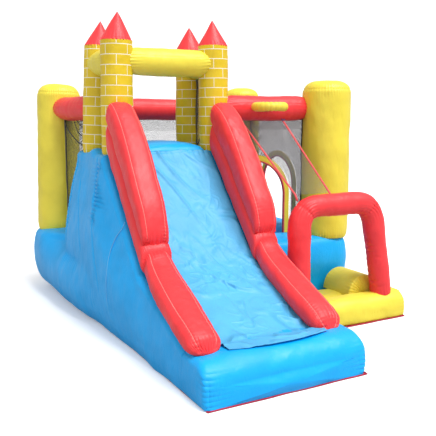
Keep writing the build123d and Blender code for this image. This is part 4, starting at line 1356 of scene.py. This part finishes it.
def canopy():
    """The slanting net from the front beam down to the arch, between two straps."""
    low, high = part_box("canopy_binding")
    head_left, foot_left, foot_right, head_right = low.x, low.x + 0.039, high.x - 0.061, high.x
    foot_y, head_y = low.y + 0.004, high.y - 0.004
    foot_z, head_z = low.z, high.z
    rows, columns = 70, 40
    down = np.linspace(0, 1, rows)[:, None]
    left = head_left + (foot_left - head_left) * down
    right = head_right + (foot_right - head_right) * down
    x = left + (right - left) * np.linspace(0, 1, columns)
    y = head_y + (foot_y - head_y) * down + 0 * x
    sag = 0.030 * np.sin(pi * down) * np.sin(pi * np.linspace(0, 1, columns))[None]
    z = head_z + (foot_z - head_z) * down - sag
    sheet = np.stack([x, y, z], -1)
    panel = grid_object("canopy_net", sheet, open_net, closed=False)
    place(panel, "canopy_net")
    for name, column_at in (("left", 0), ("right", -1)):
        line = sheet[:, column_at] + (0, 0, 0.002)
        line = np.vstack([line[:1] + (0, 0.03, 0.02), line, line[-1:] + (0, -0.03, -0.045)])
        ribbon(f"canopy_strap_{name}", line, (1, 0, 0), 0.018, 0.003, red_tape)
    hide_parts("canopy_binding")
    eye = np.linspace(0, 2 * pi, 40)
    ring = np.stack([head_right + 0.014 * np.cos(eye), head_y - 0.012 + 0 * eye,
                     head_z + 0.012 + 0.014 * np.sin(eye)], 1)
    piping("canopy_ring", ring, 0.0035, moulded("ring_plastic", (0.10, 0.16, 0.45)))


canopy()


def play_hoop():
    low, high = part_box("play_hoop")
    tube = (high.z - low.z) / 2
    ring_radius = (high.x - low.x) / 2 - tube
    centre = Vector(((low.x + high.x) / 2, low.y + tube + ring_radius, (low.z + high.z) / 2))
    turn = np.linspace(0, 2 * pi, 241)
    line = np.stack([centre.x + ring_radius * np.cos(turn), centre.y + ring_radius * np.sin(turn),
                     np.full(len(turn), centre.z)], 1)
    small = np.linspace(0, 2 * pi, 72, endpoint=False)
    outwards = np.stack([np.cos(turn), np.sin(turn), 0 * turn], 1)
    rings = line[:, None] + tube * (np.cos(small)[None, :, None] * outwards[:, None]
                                    + np.sin(small)[None, :, None] * np.array((0, 0, 1.0)))
    travel = np.broadcast_to((turn * ring_radius)[:, None], rings.shape[:2])
    inner_side = 0.5 - 0.5 * np.cos(small)[None] + 0 * travel
    pitch = whole_pitch(2 * pi * ring_radius, 0.035)
    shape = gathers(rings, travel, 0 * travel, pitch, 0.006, 1.0, 161) * (0.35 + 0.65 * inner_side)
    rings = push(rings, shape + 0.0015 * field(rings, 0.1, 162))
    chamber("play_hoop", rings, yellow, fill=0.85)


play_hoop()


# ---------------------------------------------------------------- inlet sleeve, zip, bottom sheet

def inlet_sleeve():
    """The blower sleeve: a gathered cuff with a tie round the blower's outlet."""
    low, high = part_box("inlet_sleeve")
    centre, radius = (low + high) / 2, (high.x - low.x) / 2
    rows = 80
    reach = spaced(low.y - 0.01, high.y, rows)
    flare = radius + 0.022 * np.exp(-(reach - low.y) / 0.03)
    flare += 0.006 * ease((reach - high.y + 0.03) / 0.03)
    flare -= 0.003 * np.exp(-((reach - high.y + 0.045) / 0.008) ** 2)
    centres = np.stack([np.full(rows, centre.x), reach, np.full(rows, centre.z)], 1)
    outer = tube_rings(centres, flare, 120)
    inner = tube_rings(centres, flare - 0.0015, 120)
    around = around_of(outer, radius)
    pitch = whole_pitch(2 * pi * radius, 0.018)
    tie = (reach - high.y + 0.045)[:, None]
    wrinkles = gathers(outer, around, tie, pitch, 0.005, 0.06, 171)
    outer, inner = push(outer, wrinkles), push(inner, wrinkles)
    rings = np.concatenate([outer, inner[::-1]])
    sleeve = grid_object("inlet_sleeve", np.concatenate([rings, rings[:1]]), blue)
    place(sleeve, "inlet_sleeve")
    turn = np.linspace(0, 2 * pi, rows)
    line = np.stack([centre.x + (radius + 0.001) * np.cos(turn), np.full(rows, high.y - 0.045),
                     centre.z + (radius + 0.001) * np.sin(turn)], 1)
    ribbon("inlet_tie", line, (0, 1, 0), 0.018, 0.003, black_tape)


inlet_sleeve()


def deflation_zip():
    """Two woven tapes with a row of moulded teeth between them."""
    low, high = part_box("deflation_zip")
    z = (low.z + high.z) / 2
    face = low.y + 0.002
    x = np.linspace(low.x, high.x, 80)
    for name, sign in (("upper", 1), ("lower", -1)):
        ripple = 0.0006 * np.sin(np.linspace(0, 40, len(x)))
        line = np.stack([x, face + ripple, np.full(len(x), z + sign * 0.0093)], 1)
        tape = ribbon(f"zip_tape_{name}", line, (0, 0, 1), 0.0135, 0.0022, black_tape, "zip_tape")
        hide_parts("deflation_zip")
    teeth = np.linspace(low.x + 0.008, high.x - 0.008, 72)
    parts = []
    for number, x in enumerate(teeth):
        tooth_z = z + (-1) ** number * 0.0012
        centres = [(x - 0.0012, face + 0.0012, tooth_z), (x + 0.0012, face + 0.0012, tooth_z)]
        parts.append(grid_object("tooth", tube_rings(centres, 0.0019, 8), teeth_plastic))
    place(joined("zip_teeth", parts))


deflation_zip()


def ground_sheet():
    """The crimson bottom sheet, whose sewn edge shows all round the foot of the house."""
    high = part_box("ground_sheet")[1]
    pad_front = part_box("entry_bolster")[0].y
    outline = np.array([
        (-SIDE - 0.010, SLIDE_FRONT - 0.002), (SIDE + 0.001, SLIDE_FRONT - 0.002),
        (SIDE + 0.001, pad_front - 0.001), (high.x - 0.006, pad_front - 0.001),
        (high.x - 0.006, right_front.y - 0.17), (right_front.x + 0.180, right_front.y - 0.05),
        (right_rear.x + 0.180, right_rear.y), (right_rear.x + 0.06, left_rear.y + 0.10),
        (left_rear.x - 0.03, left_rear.y + 0.08), (left_rear.x - 0.08, left_rear.y),
        (-SIDE - 0.010, PLATFORM_REAR - 0.10)])
    rim = resample(outline, 700, closed=True)
    rim3 = np.stack([rim[:, 0], rim[:, 1], 0 * rim[:, 0]], 1)
    out = unit(np.stack([np.gradient(rim[:, 1]), -np.gradient(rim[:, 0])], 1))
    rim = rim + out * (0.002 * field(rim3, 0.12, 181))[:, None]
    centre = rim.mean(0)
    shares = (0.05, 0.9, 1.0)
    layers = [(share, GROUND) for share in shares] + [(share, 0.0045) for share in shares[::-1]]
    rings = np.array([np.column_stack([centre + (rim - centre) * share, np.full(len(rim), z)])
                      for share, z in layers])
    sheet = grid_object("ground_sheet", rings, crimson)
    place(sheet, "ground_sheet")
    bead = np.column_stack([rim, np.full(len(rim), 0.0055)])
    piping("ground_sheet_welt", np.vstack([bead, bead[:1]]), 0.005, crimson)


ground_sheet()


# ---------------------------------------------------------------- blower

BLOWER = {
    "blower_housing": moulded("blower_case_plastic", (0.028, 0.030, 0.034), 0.42),
    "intake_grille": moulded("grille_plastic", (0.012, 0.012, 0.013), 0.5),
    "blower_impeller": moulded("impeller_grey", (0.30, 0.31, 0.32), 0.38),
    "blower_motor": moulded("motor_metal_paint", (0.22, 0.23, 0.24), 0.45, metal=0.3, grain=500.0),
    "cable_gland": moulded("gland_plastic", (0.015, 0.015, 0.016), 0.45),
    "blower_handle": moulded("handle_plastic", (0.020, 0.020, 0.022), 0.55),
    "switch_rocker": moulded("rocker_plastic", (0.62, 0.02, 0.02), 0.32),
    "zip_slider": moulded("slider_steel", (0.62, 0.62, 0.62), 0.28, metal=1.0),
}
for node, material in BLOWER.items():
    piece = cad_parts[node]
    piece.data.materials.clear()
    piece.data.materials.append(material)


# ---------------------------------------------------------------- floor, light and camera

AMBIENT = 0.60                # how bright the pale studio round the house is


def stage():
    """A pale studio: the camera sees its floor and backdrop paler than they light the house."""
    mesh = bpy.data.meshes.new("floor")
    half = 60.0
    corners = [(-half, -half, 0), (half, -half, 0), (half, half, 0), (-half, half, 0)]
    mesh.from_pydata(corners, [], [(0, 1, 2, 3)])
    floor = link(bpy.data.objects.new("floor", mesh))
    material, tree, shader = nodes_of("floor_paint")
    seen = add_node(tree, "LightPath").outputs["Is Camera Ray"]
    paint = mixed(tree, seen, (0.45, 0.45, 0.46, 1), (0.95, 0.95, 0.95, 1))
    tree.links.new(paint, shader.inputs["Base Color"])
    shader.inputs["Emission Color"].default_value = (1, 1, 1, 1)
    tree.links.new(ranged(tree, seen, 0.0, 1.0, 0.0, 0.22), shader.inputs["Emission Strength"])
    shader.inputs["Roughness"].default_value = 0.9
    mesh.materials.append(material)
    floor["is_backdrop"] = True

    world = bpy.data.worlds.new("studio")
    bpy.context.scene.world = world
    world.use_nodes = True
    tree = world.node_tree
    seen = add_node(tree, "LightPath").outputs["Is Camera Ray"]
    strength = ranged(tree, seen, 0.0, 1.0, AMBIENT, 1.35)
    tree.links.new(strength, tree.nodes["Background"].inputs["Strength"])
    tree.nodes["Background"].inputs["Color"].default_value = (1, 1, 1, 1)

    for name, towards, spread, strength in (("key", (0.24, -0.52, 1.0), 34.0, 3.3),
                                            ("fill", (-0.8, -0.8, 0.5), 90.0, 0.6)):
        lamp = bpy.data.lights.new(name, "SUN")
        lamp.energy, lamp.angle = strength, radians(spread)
        light = link(bpy.data.objects.new(name, lamp))
        light.rotation_mode = "QUATERNION"
        light.rotation_quaternion = Vector(towards).to_track_quat("Z", "Y")


def camera():
    """The view from the slide's front left, with the towers' heads a little above eye height."""
    data = bpy.data.cameras.new("camera")
    data.lens, data.sensor_width = 53.5, 36.0
    data.clip_end = 200.0
    view = link(bpy.data.objects.new("camera", data))
    view.location = (-2.158, -4.799, 1.642)
    turn, tilt = radians(28.6), radians(9.0)
    ahead = Vector((sin(turn) * cos(tilt), cos(turn) * cos(tilt), -sin(tilt)))
    view.rotation_mode = "QUATERNION"
    view.rotation_quaternion = ahead.to_track_quat("-Z", "Y")
    bpy.context.scene.camera = view


stage()
camera()
bpy.context.scene.view_settings.view_transform = "Standard"

low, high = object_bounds()
